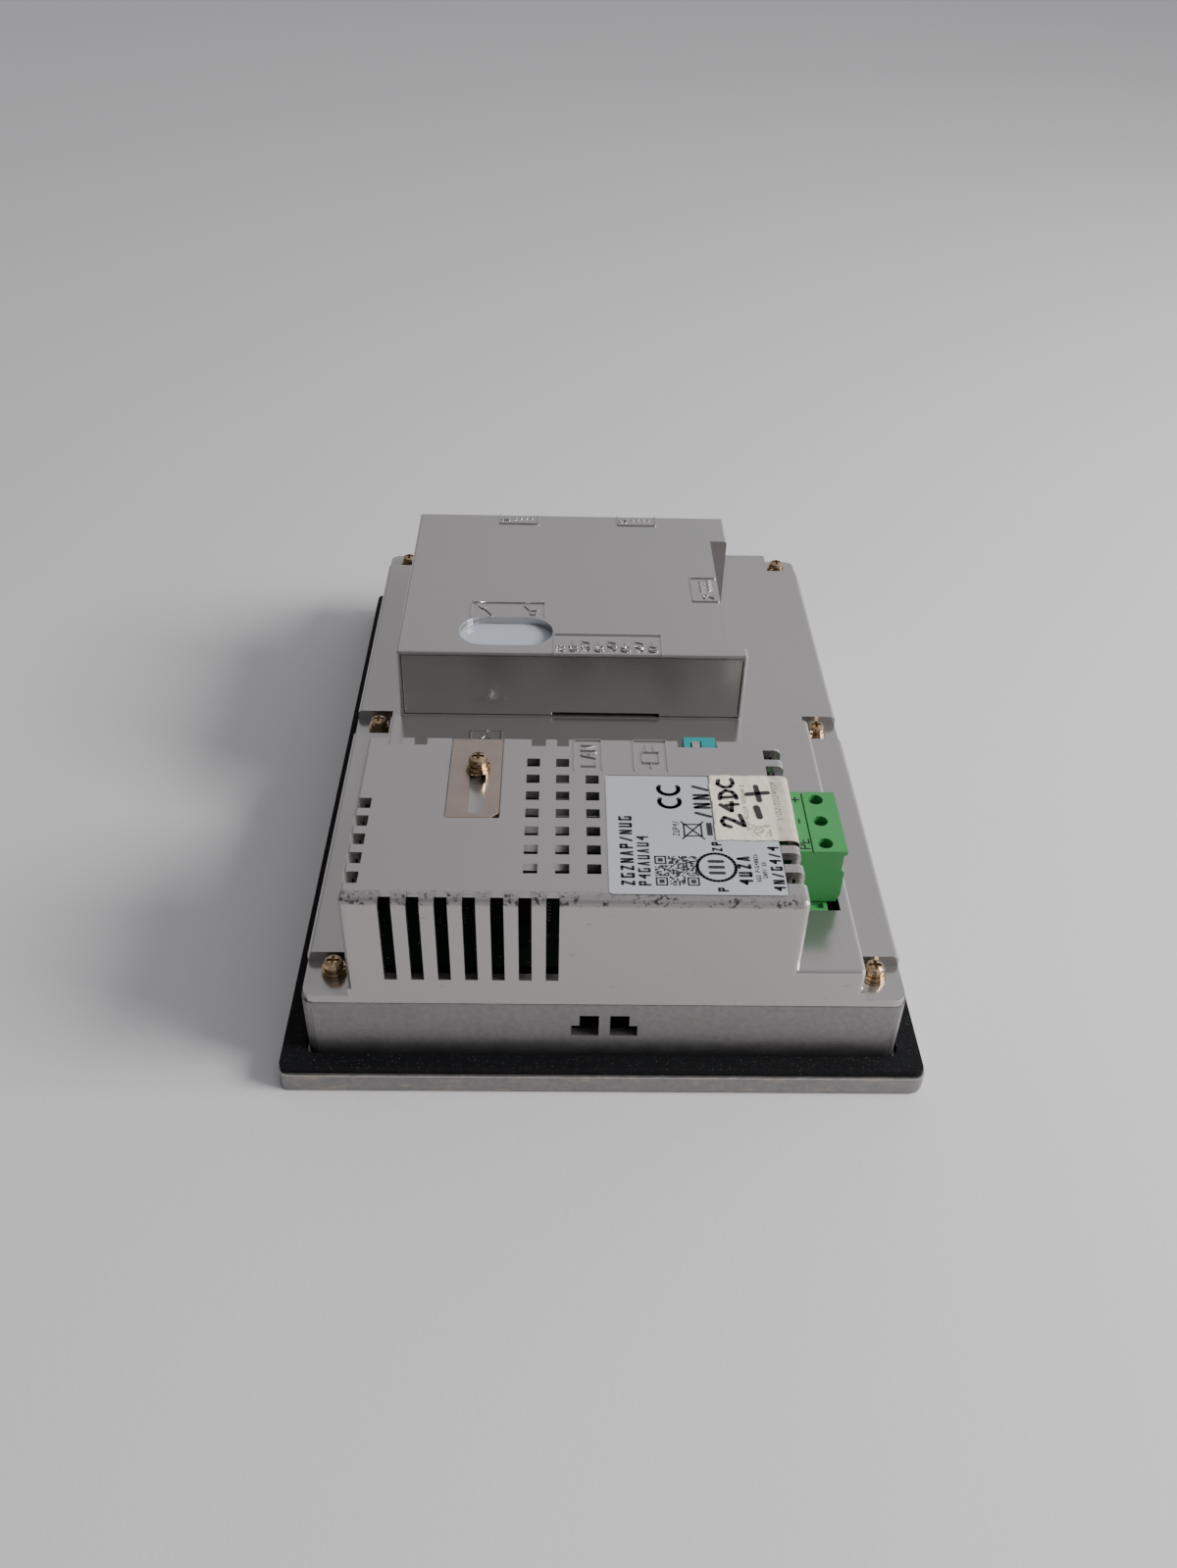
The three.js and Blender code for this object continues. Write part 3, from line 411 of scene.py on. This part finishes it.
def round_edges(obj, width, angle):
    bevel = obj.modifiers.new("edge", "BEVEL")
    bevel.width = width
    bevel.segments = 2
    bevel.limit_method = "ANGLE"
    bevel.angle_limit = math.radians(angle)


def soften(obj, width):
    """Welds the shell and rounds its sharp edges a little, as moulded and pressed parts have."""
    weld = obj.modifiers.new("weld", "WELD")
    weld.merge_threshold = 0.000002
    round_edges(obj, width, 35)


for finish, names in FINISH_OF.items():
    for name in names:
        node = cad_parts[name]
        node.data.materials.clear()
        node.data.materials.append(MATERIALS[finish])
        width = EDGE_WIDTH.get(name)
        if width:
            soften(node, width)


# ---------------------------------------------------------------- mesh building
def add_piece(name, bm, finish, body=BODY, bevel=0.0, smooth=False):
    mesh = bpy.data.meshes.new(name)
    bmesh.ops.recalc_face_normals(bm, faces=bm.faces)
    for face in bm.faces:
        face.smooth = smooth
    bm.to_mesh(mesh)
    bm.free()
    obj = bpy.data.objects.new(name, mesh)
    bpy.context.scene.collection.objects.link(obj)
    mesh.materials.append(MATERIALS[finish])
    if bevel:
        round_edges(obj, bevel, 40)
    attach(obj, body)
    return obj


def prism(bm, points, z0, z1, taper=0.0):
    """Upright prism over a polygon of drawing points, its top drawn in by `taper` mm."""
    cx = sum(p[0] for p in points) / len(points)
    cy = sum(p[1] for p in points) / len(points)
    bottom = [bm.verts.new(at(x, y, z0)) for x, y in points]
    top = []
    for x, y in points:
        reach = math.hypot(x - cx, y - cy) or 1
        shrink = 1 - min(taper / reach, 0.9)
        top.append(bm.verts.new(at(cx + (x - cx) * shrink, cy + (y - cy) * shrink, z1)))
    count = len(points)
    for i in range(count):
        j = (i + 1) % count
        bm.faces.new((bottom[i], bottom[j], top[j], top[i]))
    bm.faces.new(top)
    bm.faces.new(list(reversed(bottom)))


def rectangle(x0, x1, y0, y1):
    return [(x0, y0), (x1, y0), (x1, y1), (x0, y1)]


def disc(x, y, radius, count):
    step = 2 * math.pi / count
    return [(x + radius * math.cos(i * step), y + radius * math.sin(i * step))
            for i in range(count)]


def bar(bm, p, q, half, z0, z1, taper=0.0):
    """Round-ended bar from p to q."""
    angle = math.atan2(q[1] - p[1], q[0] - p[0])
    points = []
    for centre, start in ((q, angle - math.pi / 2), (p, angle + math.pi / 2)):
        for i in range(4):
            a = start + math.pi * i / 3
            points.append((centre[0] + half * math.cos(a), centre[1] + half * math.sin(a)))
    cx, cy = (p[0] + q[0]) / 2, (p[1] + q[1]) / 2
    bottom = [bm.verts.new(at(x, y, z0)) for x, y in points]
    ends = [q] * 4 + [p] * 4
    shrink = 1 - taper / half if half else 1
    top = [
        bm.verts.new(at(e[0] + (x - e[0]) * shrink, e[1] + (y - e[1]) * shrink, z1))
        for (x, y), e in zip(points, ends)
    ]
    count = len(points)
    for i in range(count):
        j = (i + 1) % count
        bm.faces.new((bottom[i], bottom[j], top[j], top[i]))
    bm.faces.new(top)
    bm.faces.new(list(reversed(bottom)))


def polyline(bm, points, half, z0, z1, taper=0.0, closed=False):
    pairs = list(zip(points, points[1:]))
    if closed:
        pairs.append((points[-1], points[0]))
    for p, q in pairs:
        bar(bm, p, q, half, z0, z1, taper)


# Strokes of the few generic marks, on a cell 0.6 wide and 1 high.
GLYPHS = {
    "L": [[(0, 1), (0, 0), (0.55, 0)]],
    "A": [[(0, 0), (0.3, 1), (0.6, 0)], [(0.12, 0.36), (0.48, 0.36)]],
    "N": [[(0, 0), (0, 1), (0.58, 0), (0.58, 1)]],
    "P": [[(0, 0), (0, 1), (0.42, 1), (0.58, 0.86), (0.58, 0.62), (0.42, 0.48), (0, 0.48)]],
    "E": [[(0.58, 1), (0, 1), (0, 0), (0.58, 0)], [(0, 0.52), (0.46, 0.52)]],
    "1": [[(0.1, 0.8), (0.32, 1), (0.32, 0)]],
    "2": [[(0, 0.82), (0.16, 1), (0.42, 1), (0.56, 0.82), (0.5, 0.58), (0, 0), (0.6, 0)]],
    "3": [[(0, 1), (0.56, 1), (0.26, 0.6), (0.52, 0.44), (0.5, 0.12), (0.26, 0), (0, 0.1)]],
    "4": [[(0.44, 0), (0.44, 1), (0, 0.32), (0.62, 0.32)]],
    "5": [[(0.56, 1), (0.06, 1), (0.02, 0.56), (0.36, 0.6), (0.56, 0.34), (0.4, 0.02), (0, 0.06)]],
    "6": [[(0.5, 1), (0.12, 0.62), (0, 0.26), (0.2, 0), (0.46, 0.06), (0.54, 0.36), (0.3, 0.54),
           (0.06, 0.42)]],
    "7": [[(0, 1), (0.58, 1), (0.2, 0)]],
    "+": [[(0.02, 0.5), (0.62, 0.5)], [(0.32, 0.2), (0.32, 0.8)]],
    "-": [[(0.06, 0.5), (0.58, 0.5)]],
}


def lettering(bm, text, x, y, height, half, z0, z1, spread=0.88, taper=0.0):
    """Marks that read from near to far, their tops towards -X, starting at (x, y)."""
    for i, letter in enumerate(text):
        for stroke in GLYPHS.get(letter, []):
            points = [(x - gy * height, y + (gx + i * spread) * height) for gx, gy in stroke]
            polyline(bm, points, half, z0, z1, taper)


# ---------------------------------------------------------------- raised marks on the lids
RAISED = 0.34
LINE = 0.19


def raised_lines(bm, points, z, closed=False, half=LINE):
    polyline(bm, points, half, z - 0.1, z + RAISED, half * 0.4, closed)


def raised_word(bm, text, x, y, height, z, half=LINE):
    lettering(bm, text, x, y, height, half, z - 0.1, z + RAISED, 0.86, taper=half * 0.4)


def lid_marks():
    bm = bmesh.new()
    z = LID_Z
    raised_lines(bm, [(66.0, 49.0), (66.0, 60.2), (72.4, 60.2), (72.4, 49.0)], z)
    raised_word(bm, "LAN", 71.0, 50.3, 3.4, z, 0.2)
    raised_lines(bm, [(79.9, 49.0), (79.9, 60.2), (87.6, 60.2), (87.6, 49.0)], z)
    # a plug with its two pins
    raised_lines(bm, [(81.8, 51.8), (85.8, 51.8), (85.8, 55.8), (81.8, 55.8)], z, True, 0.22)
    for x in (82.9, 84.7):
        raised_lines(bm, [(x, 55.8), (x, 58.4)], z, half=0.22)
    raised_lines(bm, [(83.8, 51.8), (83.8, 49.8)], z, half=0.22)
    # far box: microphone and loudspeaker in one frame above the window
    raised_lines(bm, [(38.5, 115.2), (38.5, 122.2), (58.3, 122.2), (58.3, 115.2)], z)
    bar(bm, (40.2, 120.9), (41.6, 119.4), 0.85, z - 0.1, z + RAISED, 0.25)
    raised_lines(bm, [(41.9, 119.0), (44.1, 115.6)], z, half=0.2)
    raised_lines(bm, [(52.8, 120.6), (54.2, 118.2), (56.2, 118.2), (57.6, 120.6)], z, half=0.2)
    raised_lines(bm, [(54.2, 118.2), (54.4, 116.2), (56.0, 116.2), (56.2, 118.2)], z, half=0.2)
    # row of terminal numbers
    raised_lines(bm, [(60.9, 97.3), (60.9, 106.6), (89.0, 106.6), (89.0, 97.3)], z)
    for i, x in enumerate((63.6, 67.0, 70.3, 73.7, 77.1, 80.6, 84.2, 87.8)):
        word = "21" if i == 0 else f"4{i}-" if i % 2 else f"3{i}7"
        raised_word(bm, word, x, 98.2, 2.2, z, 0.16)
    # marks over the serial connectors: a D-shaped face with its pins
    for x in (44.2, 79.4):
        raised_lines(bm, [(x, 173.4), (x, 167.8), (x + 11.4, 167.8), (x + 11.4, 173.4)], z)
        raised_word(bm, "1" if x < 60 else "3", x + 2.8, 169.4, 2.4, z, 0.18)
        for k in range(4):
            bar(bm, (x + 4.6 + 1.6 * k, 171.0), (x + 5.0 + 1.6 * k, 172.0), 0.34, z - 0.1,
                z + RAISED, 0.1)
    raised_lines(bm, [(106.0, 124.4), (98.9, 124.4), (98.9, 137.0), (106.0, 137.0)], z)
    raised_word(bm, "2", 104.9, 126.0, 3.0, z, 0.2)
    for k in range(4):
        bar(bm, (101.6, 130.0 + 1.6 * k), (102.6, 130.4 + 1.6 * k), 0.36, z - 0.1, z + RAISED, 0.1)
        bar(bm, (103.8, 130.6 + 1.6 * k), (104.6, 131.0 + 1.6 * k), 0.36, z - 0.1, z + RAISED, 0.1)
    # mark of the cable lock, on the valley floor
    floor = VALLEY_Z
    raised_lines(bm, [(39.4, 86.0), (39.4, 90.6), (47.5, 90.6), (47.5, 86.0)], floor)
    raised_lines(bm, [(42.0, 87.0), (43.4, 89.4), (44.8, 87.0)], floor, True, 0.2)
    add_piece("raised_lid_marks", bm, "silver")


lid_marks()

# ---------------------------------------------------------------- rating label print
INK_DEPTH = 0.03


def filler_text(bm, rng, x, y0, y1, height, half, z0, z1, skip=0.1):
    """A line of meaningless strokes the size of print, running towards +Y."""
    wide = height * 0.42
    cell = wide + 2.6 * half + height * 0.08
    y = y0
    near, far, middle = x - half, x - height + half, x - height / 2
    while y + wide < y1:
        left, right = y + half, y + wide
        shapes = [
            [(near, left), (far, left), (far, right), (middle, right), (middle, left)],
            [(far, left), (near, left), (near, right), (far, right)],
            [(near, left), (far, left), (near, right), (far, right)],
            [(far, right), (far, left), (near, left), (near, right), (middle, right)],
            [(near, left), (far, (left + right) / 2), (near, right)],
            [(near, right), (far, right), (middle, left), (middle, right)],
            [(near, left), (far, right)],
            [(far, left), (far, right), (near, left), (near, right)],
        ]
        if rng.random() > skip:
            polyline(bm, rng.choice(shapes), half, z0, z1)
        y += cell


def matrix_code(bm, rng, x0, y0, size, z0, z1):
    """Random squares with three plain corner squares; it carries nothing."""
    count = 25
    cell = size / count
    corners = ((0, 0), (0, count - 7), (count - 7, 0))
    for ox, oy in corners:
        low_x, low_y = x0 + ox * cell, y0 + oy * cell
        inner = rectangle(low_x + cell / 2, low_x + 6.5 * cell, low_y + cell / 2,
                          low_y + 6.5 * cell)
        polyline(bm, inner, cell / 2, z0, z1, closed=True)
        prism(bm, rectangle(low_x + 2 * cell, low_x + 5 * cell, low_y + 2 * cell,
                            low_y + 5 * cell), z0, z1)
    for i in range(count):
        for j in range(count):
            in_corner = any(
                ox - 1 <= i <= ox + 7 and oy - 1 <= j <= oy + 7 for ox, oy in corners
            )
            if rng.random() < 0.52 and not in_corner:
                x, y = x0 + i * cell, y0 + j * cell
                prism(bm, rectangle(x, x + cell, y, y + cell), z0, z1)


def label_print():
    rng = random.Random(11)
    z0 = LABEL_HIGH[2]
    z1 = z0 + INK_DEPTH
    bm = bmesh.new()
    filler_text(bm, rng, 78.6, 10.3, 32.7, 3.0, 0.31, z0, z1, 0.04)
    filler_text(bm, rng, 82.0, 10.3, 27.4, 2.7, 0.26, z0, z1, 0.04)
    matrix_code(bm, rng, 82.9, 10.4, 9.2, z0, z1)
    ring = [(96.0 + 4.1 * math.cos(a), 16.2 + 4.3 * math.sin(a))
            for a in (2 * math.pi * k / 32 for k in range(32))]
    polyline(bm, ring, 0.36, z0, z1, closed=True)
    for y in (14.4, 16.2, 18.0):
        bar(bm, (94.6, y), (97.4, y), 0.45, z0, z1)
    filler_text(bm, rng, 103.4, 10.8, 21.6, 3.0, 0.36, z0, z1, 0.0)
    filler_text(bm, rng, 105.1, 11.8, 21.0, 1.0, 0.09, z0, z1)
    filler_text(bm, rng, 106.6, 13.0, 18.0, 1.0, 0.09, z0, z1)
    filler_text(bm, rng, 110.0, 9.0, 23.2, 2.6, 0.3, z0, z1, 0.0)
    filler_text(bm, rng, 88.9, 26.2, 31.7, 1.5, 0.11, z0, z1, 0.0)
    filler_text(bm, rng, 97.8, 21.2, 24.8, 2.3, 0.26, z0, z1, 0.0)
    filler_text(bm, rng, 98.0, 8.7, 10.6, 2.3, 0.26, z0, z1, 0.0)
    filler_text(bm, rng, 96.5, 32.3, 43.6, 4.0, 0.42, z0, z1, 0.0)
    # plain pictogram: a crossed box
    polyline(bm, rectangle(89.9, 93.7, 26.2, 30.0), 0.2, z0, z1, closed=True)
    bar(bm, (89.4, 25.2), (94.2, 30.9), 0.2, z0, z1)
    bar(bm, (94.2, 25.2), (89.4, 30.9), 0.2, z0, z1)
    prism(bm, rectangle(94.9, 96.1, 26.4, 30.6), z0, z1)
    for y in (36.9, 41.4):
        half_ring = [(87.3 + 2.3 * math.sin(a), y + 0.9 - 2.1 * math.cos(a))
                     for a in (math.radians(-118 + 236 * k / 12) for k in range(13))]
        polyline(bm, half_ring, 0.5, z0, z1)
    add_piece("label_printing", bm, "print")


label_print()


# ---------------------------------------------------------------- masking tape with hand marks
def masking_tape():
    rng = random.Random(5)
    bend = 1.5
    z_flat = LABEL_HIGH[2] + 0.08
    rise = z_flat - LID_Z
    radius = bend + rise
    hub = (NEAR_BOX_RIGHT - bend, LID_Z - bend)
    x0 = TAPE_LOW[0]
    y0, y1 = TAPE_LOW[1], TAPE_HIGH[1]
    flat = hub[0] - x0
    arc = radius * math.pi / 2
    drop = 3.0
    steps_s, steps_w = 72, 40
    phases = [rng.uniform(0, 6.28) for _ in range(6)]
    bm = bmesh.new()
    rows = []
    for i in range(steps_s + 1):
        row = []
        for j in range(steps_w + 1):
            v = j / steps_w
            torn = 0.5 * math.sin(9 * v + phases[0]) + 0.25 * math.sin(31 * v + phases[1])
            end = 0.45 * math.sin(7 * v + phases[2])
            s = (i / steps_s) * (flat + arc + drop + end)
            s = max(s, 0) if i else 0.35 + 0.35 * torn
            if s <= flat:
                x, z, nx, nz = x0 + s, z_flat, 0, 1
            elif s <= flat + arc:
                a = (s - flat) / radius
                x = hub[0] + radius * math.sin(a)
                z = hub[1] + radius * math.cos(a)
                nx, nz = math.sin(a), math.cos(a)
            else:
                x, z, nx, nz = hub[0] + radius, hub[1] - (s - flat - arc), 1, 0
            ripple = 0.035 * math.sin(0.9 * s + 5 * v + phases[3])
            ripple += 0.05 * max(0.0, math.sin(1.7 * s + 14 * v + phases[4])) ** 4
            edge = min(v, 1 - v)
            ripple += 0.10 * math.exp(-edge * 26) * (0.5 + 0.5 * math.sin(2.1 * s + phases[5]))
            y = y0 + (y1 - y0) * v + 0.08 * math.sin(0.8 * s + phases[1])
            row.append(bm.verts.new(at(x + nx * (ripple + 0.06), y, z + nz * (ripple + 0.06))))
        rows.append(row)
    for a, b in zip(rows, rows[1:]):
        for j in range(steps_w):
            bm.faces.new((a[j], b[j], b[j + 1], a[j + 1]))
    obj = add_piece("masking_tape", bm, "tape", smooth=True)
    thick = obj.modifiers.new("paper", "SOLIDIFY")
    thick.thickness = 0.00012
    thick.offset = 0
    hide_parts("marking_tape")
    z0 = z_flat + 0.02
    z1 = z_flat + 0.24
    bm = bmesh.new()
    wobble = random.Random(3)
    strokes = [
        [(100.3, 29.0), (98.9, 29.6), (98.4, 31.0), (99.2, 32.2), (101.2, 31.2), (103.2, 29.4),
         (103.0, 31.0), (102.6, 33.2)],
        [(98.6, 36.6), (101.0, 34.4), (101.2, 37.6)],
        [(99.8, 36.4), (102.6, 36.9)],
        [(98.9, 39.1), (102.3, 39.4)],
        [(98.7, 38.6), (99.0, 40.4), (100.2, 41.6), (101.6, 41.2), (102.4, 39.9), (102.4, 38.8)],
        [(98.9, 45.4), (98.6, 44.0), (99.8, 42.8), (101.4, 42.9), (102.1, 44.2), (101.8, 45.7)],
    ]
    for stroke in strokes:
        shaken = [(x + wobble.uniform(-0.08, 0.08), y + wobble.uniform(-0.08, 0.08))
                  for x, y in stroke]
        polyline(bm, shaken, 0.47, z0, z1)
    bar(bm, (107.0, 32.4), (106.6, 35.9), 0.72, z0, z1)
    bar(bm, (107.6, 38.2), (107.2, 43.3), 0.6, z0, z1)
    bar(bm, (104.9, 40.4), (109.7, 41.0), 0.6, z0, z1)
    add_piece("hand_marks", bm, "marker")
    bm = bmesh.new()
    ghosts = random.Random(8)
    for i in range(9):
        for j in range(8):
            if ghosts.random() < 0.5:
                x = 104.6 + i * 0.5
                y = 26.0 + j * 0.5
                prism(bm, rectangle(x, x + 0.44, y, y + 0.44), z0, z1 - 0.04)
    filler_text(bm, ghosts, 104.6, 28.0, 44.0, 1.0, 0.1, z0, z1 - 0.04)
    filler_text(bm, ghosts, 112.0, 30.5, 45.0, 1.2, 0.12, z0, z1 - 0.04)
    add_piece("print_under_tape", bm, "ghost")


masking_tape()


# ---------------------------------------------------------------- power plug marks and contacts
def plug_marks():
    z0 = PLUG_HIGH[2] - 0.01
    z1 = z0 + 0.04
    bm = bmesh.new()
    lettering(bm, "PE", 118.2, 27.9, 2.2, 0.18, z0, z1, 0.84)
    lettering(bm, "-", 118.3, 36.4, 2.6, 0.2, z0, z1)
    lettering(bm, "+", 118.5, 43.9, 2.9, 0.19, z0, z1)
    add_piece("plug_marks", bm, "print", "power_plug")


plug_marks()


# ---------------------------------------------------------------- socket insides
def upright_box(bm, x0, x1, y0, y1, z0, z1):
    prism(bm, rectangle(x0, x1, y0, y1), z0, z1)


def socket_insides():
    lan_low, lan_high = (local(p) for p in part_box("lan_jack"))
    middle = (lan_low[0] + lan_high[0]) / 2
    face = lan_high[1]
    bm = bmesh.new()
    for i in range(8):
        x = middle + (i - 3.5) * 1.02
        upright_box(bm, x - 0.22, x + 0.22, face - 10, face - 2.6, 45.2, 45.6)
        upright_box(bm, x - 0.22, x + 0.22, face - 3.0, face - 2.6, 44.2, 45.5)
    add_piece("lan_contacts", bm, "gold", bevel=0.00006)
    bm = bmesh.new()
    for x in (lan_low[0] + 1.2, lan_high[0] - 2.9):
        upright_box(bm, x, x + 1.7, face - 1.0, face + 0.15, 46.9, 48.4)
    add_piece("lan_lights", bm, "lens", bevel=0.0002)
    bm = bmesh.new()
    usb_low, usb_high = (local(p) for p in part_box("usb_host_port"))
    upright_box(bm, usb_low[0] + 0.9, usb_high[0] - 0.9, face - 11.5, face - 1.2, 40.9, 42.6)
    dev_low, dev_high = (local(p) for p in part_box("usb_device_port"))
    cx = (dev_low[0] + dev_high[0]) / 2
    upright_box(bm, cx - 2.8, cx + 2.8, face - 12.5, face - 1.4, 40.9, 44.1)
    aux_low, aux_high = (local(p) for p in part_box("aux_port_shell"))
    ax = (aux_low[0] + aux_high[0]) / 2
    upright_box(bm, ax - 0.4, ax + 0.6, face - 9, face - 1.2, aux_low[2] + 1.4, aux_high[2] - 1.4)
    add_piece("socket_tongues", bm, "black", bevel=0.00015)
    bm = bmesh.new()
    for i in range(4):
        x = (usb_low[0] + usb_high[0]) / 2 + (i - 1.5) * 2.4
        upright_box(bm, x - 0.45, x + 0.45, face - 10, face - 1.8, 40.75, 40.95)
    add_piece("usb_contacts", bm, "gold")


socket_insides()


# ---------------------------------------------------------------- jack posts of the serial sockets
def turned_post(bm, centre, axis, sections, sides=6):
    """Hexagonal or round post; sections are (distance along axis, radius)."""
    axis = Vector(axis).normalized()
    side = axis.orthogonal().normalized()
    other = axis.cross(side)
    rings = []
    for along, radius in sections:
        ring = []
        for i in range(sides):
            a = 2 * math.pi * (i + 0.5) / sides
            offset = (side * math.cos(a) + other * math.sin(a)) * radius * MM
            ring.append(bm.verts.new(centre + axis * along * MM + offset))
        rings.append(ring)
    for a, b in zip(rings, rings[1:]):
        for i in range(sides):
            j = (i + 1) % sides
            bm.faces.new((a[i], a[j], b[j], b[i]))
    bm.faces.new(rings[-1])
    bm.faces.new(list(reversed(rings[0])))


def jack_posts():
    post = [(0, 2.6), (4.4, 2.6), (4.8, 2.2), (4.8, 1.3), (1.0, 1.2)]
    washer = [(-0.05, 3.4), (0.5, 3.4)]
    bm = bmesh.new()
    plates = bmesh.new()
    spots = [(x + s * 12.5, 173.6, (0, 1, 0)) for x in (50.0, 84.6) for s in (-1, 1)]
    for x, y, axis in spots:
        turned_post(bm, at(x, y, 44.0), axis, [(s + 0.5, r) for s, r in post])
        turned_post(plates, at(x, y, 44.0), axis, washer, 18)
    add_piece("serial_jack_posts", bm, "zinc", bevel=0.0001)
    add_piece("serial_post_washers", plates, "tin", bevel=0.0001)


jack_posts()


# ---------------------------------------------------------------- parts on the boards
def board_parts():
    rng = random.Random(21)
    chips = bmesh.new()
    ends = bmesh.new()
    taken = []
    low, high = (local(p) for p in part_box("carrier_board"))
    top = high[2]
    blocks = [
        local(p)
        for name in ("lan_jack", "usb_host_port", "usb_device_port", "terminal_header",
                     "power_capacitor", "speaker")
        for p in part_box(name)
    ]
    keep_out = [(a[0] - 1, b[0] + 1, a[1] - 1, b[1] + 1)
                for a, b in zip(blocks[::2], blocks[1::2])]
    for _ in range(140):
        w, d = rng.choice([(8, 8), (5, 6), (3, 1.6), (2, 1.2), (1.2, 2), (11, 7)])
        x = rng.uniform(low[0] + 2, 103 - w)
        y = rng.uniform(low[1] + 2, high[1] - d - 2)
        spot = (x - 0.8, x + w + 0.8, y - 0.8, y + d + 0.8)
        clash = any(
            spot[0] < b[1] and spot[1] > b[0] and spot[2] < b[3] and spot[3] > b[2]
            for b in keep_out + taken
        )
        if clash:
            continue
        taken.append(spot)
        tall = 1.4 if w > 3 else 0.8
        upright_box(chips, x, x + w, y, y + d, top, top + tall)
        if w > 3:
            for k in range(int(d / 1.1)):
                for side in (x - 0.6, x + w):
                    upright_box(ends, side, side + 0.6, y + 0.4 + 1.1 * k, y + 0.8 + 1.1 * k, top,
                                top + 0.4)
    add_piece("board_chips", chips, "black", bevel=0.00012)
    add_piece("chip_legs", ends, "tin")


board_parts()


# ---------------------------------------------------------------- printed border of the screen
def front_print():
    film_z = local(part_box("front_overlay")[0])[2]
    z0, z1 = film_z - 0.02, film_z
    bm = bmesh.new()
    middle_x, middle_y = BEZEL_MIDDLE
    half_x, half_y = 46.4, 80.4
    polyline(bm, rectangle(middle_x - half_x, middle_x + half_x, middle_y - half_y,
                           middle_y + half_y), 0.25, z0, z1, closed=True)
    polyline(bm, rectangle(middle_x - 67.5, middle_x + 67.5, middle_y - 96.8,
                           middle_y + 96.8), 0.18, z0, z1, closed=True)
    add_piece("screen_border_print", bm, "ghost")
    bm = bmesh.new()
    for k in range(3):
        prism(bm, disc(middle_x - 57, middle_y - 72 + 7 * k, 1.0, 16), z0, z1 + 0.02)
    add_piece("indicator_windows", bm, "lens")


front_print()


# ---------------------------------------------------------------- stage, light, camera
def stage():
    bm = bmesh.new()
    size = 4.0
    corners = [(-size, -size), (size, -size), (size, size), (-size, size)]
    bm.faces.new([bm.verts.new((x, y, 0.0)) for x, y in corners])
    mesh = bpy.data.meshes.new("floor")
    bm.to_mesh(mesh)
    bm.free()
    floor = bpy.data.objects.new("floor", mesh)
    bpy.context.scene.collection.objects.link(floor)
    p = Paint("floor_paper", (0.68, 0.665, 0.675), 0.85, 0.0)
    p.tint(p.ramp(p.noise(3, 3), 0.3, 0.7, 0.0, 0.35), (0.64, 0.625, 0.635))
    p.bump(p.noise(700, 3), 0.15, 0.0003)
    mesh.materials.append(p.material)


def area_light(name, place, target, size, power, colour):
    data = bpy.data.lights.new(name, "AREA")
    data.shape = "RECTANGLE"
    data.size, data.size_y = size
    data.energy = power
    data.color = colour
    obj = bpy.data.objects.new(name, data)
    bpy.context.scene.collection.objects.link(obj)
    obj.location = place
    direction = Vector(target) - Vector(place)
    obj.rotation_euler = direction.to_track_quat("-Z", "Y").to_euler()


# the room is brightest beyond the object, on the right and overhead
SKY_LEAN = {"X": 0.75, "Y": 0.42, "Z": 0.28}
SKY_RANGE = (-0.7, 0.8)
SKY_DARK = 0.04
SKY_BRIGHT = 0.80


def lighting():
    world = bpy.data.worlds.new("studio")
    bpy.context.scene.world = world
    world.use_nodes = True
    tree = world.node_tree
    background = tree.nodes["Background"]
    coords = tree.nodes.new("ShaderNodeTexCoord")
    split = tree.nodes.new("ShaderNodeSeparateXYZ")
    tree.links.new(coords.outputs["Generated"], split.inputs["Vector"])
    lean = None
    for axis, weight in SKY_LEAN.items():
        term = tree.nodes.new("ShaderNodeMath")
        term.operation = "MULTIPLY_ADD"
        tree.links.new(split.outputs[axis], term.inputs[0])
        term.inputs[1].default_value = weight
        if lean:
            tree.links.new(lean, term.inputs[2])
        else:
            term.inputs[2].default_value = 0.0
        lean = term.outputs["Value"]
    ramp = tree.nodes.new("ShaderNodeMapRange")
    tree.links.new(lean, ramp.inputs["Value"])
    ramp.inputs["From Min"].default_value, ramp.inputs["From Max"].default_value = SKY_RANGE
    ramp.inputs["To Min"].default_value = SKY_DARK
    ramp.inputs["To Max"].default_value = SKY_BRIGHT
    tree.links.new(ramp.outputs["Result"], background.inputs["Strength"])
    background.inputs["Color"].default_value = (0.93, 0.925, 0.96, 1)
    area_light("window", (0.85, -0.22, 0.62), (0, 0, 0.02), (0.45, 0.4), 15, (1.0, 0.985, 0.975))


# camera place in drawing millimetres; its focal length is for an image 1200 by 1599
FOCAL_PX = 1350.0
IMAGE_LONG = 1599.0
SENSOR = 36.0
CAMERA_MM = (61.715, -190.371, 243.306)
PITCH, YAW, ROLL = (math.radians(a) for a in (38.8198, -1.8374, 1.8330))


def camera():
    data = bpy.data.cameras.new("camera")
    data.sensor_width = SENSOR
    data.sensor_fit = "AUTO"
    data.lens = FOCAL_PX / IMAGE_LONG * SENSOR
    data.clip_start = 0.01
    data.clip_end = 50
    obj = bpy.data.objects.new("camera", data)
    bpy.context.scene.collection.objects.link(obj)
    turn = Matrix.Rotation(YAW, 3, "Z")
    forward = turn @ Vector((0, math.cos(PITCH), -math.sin(PITCH)))
    right = turn @ Vector((1, 0, 0))
    up = turn @ Vector((0, math.sin(PITCH), math.cos(PITCH)))
    right2 = math.cos(ROLL) * right + math.sin(ROLL) * up
    up2 = -math.sin(ROLL) * right + math.cos(ROLL) * up
    rotation = Matrix((right2, up2, -forward)).transposed()
    obj.matrix_world = Matrix.Translation(at(*CAMERA_MM)) @ rotation.to_4x4()
    bpy.context.scene.camera = obj


stage()
lighting()
camera()
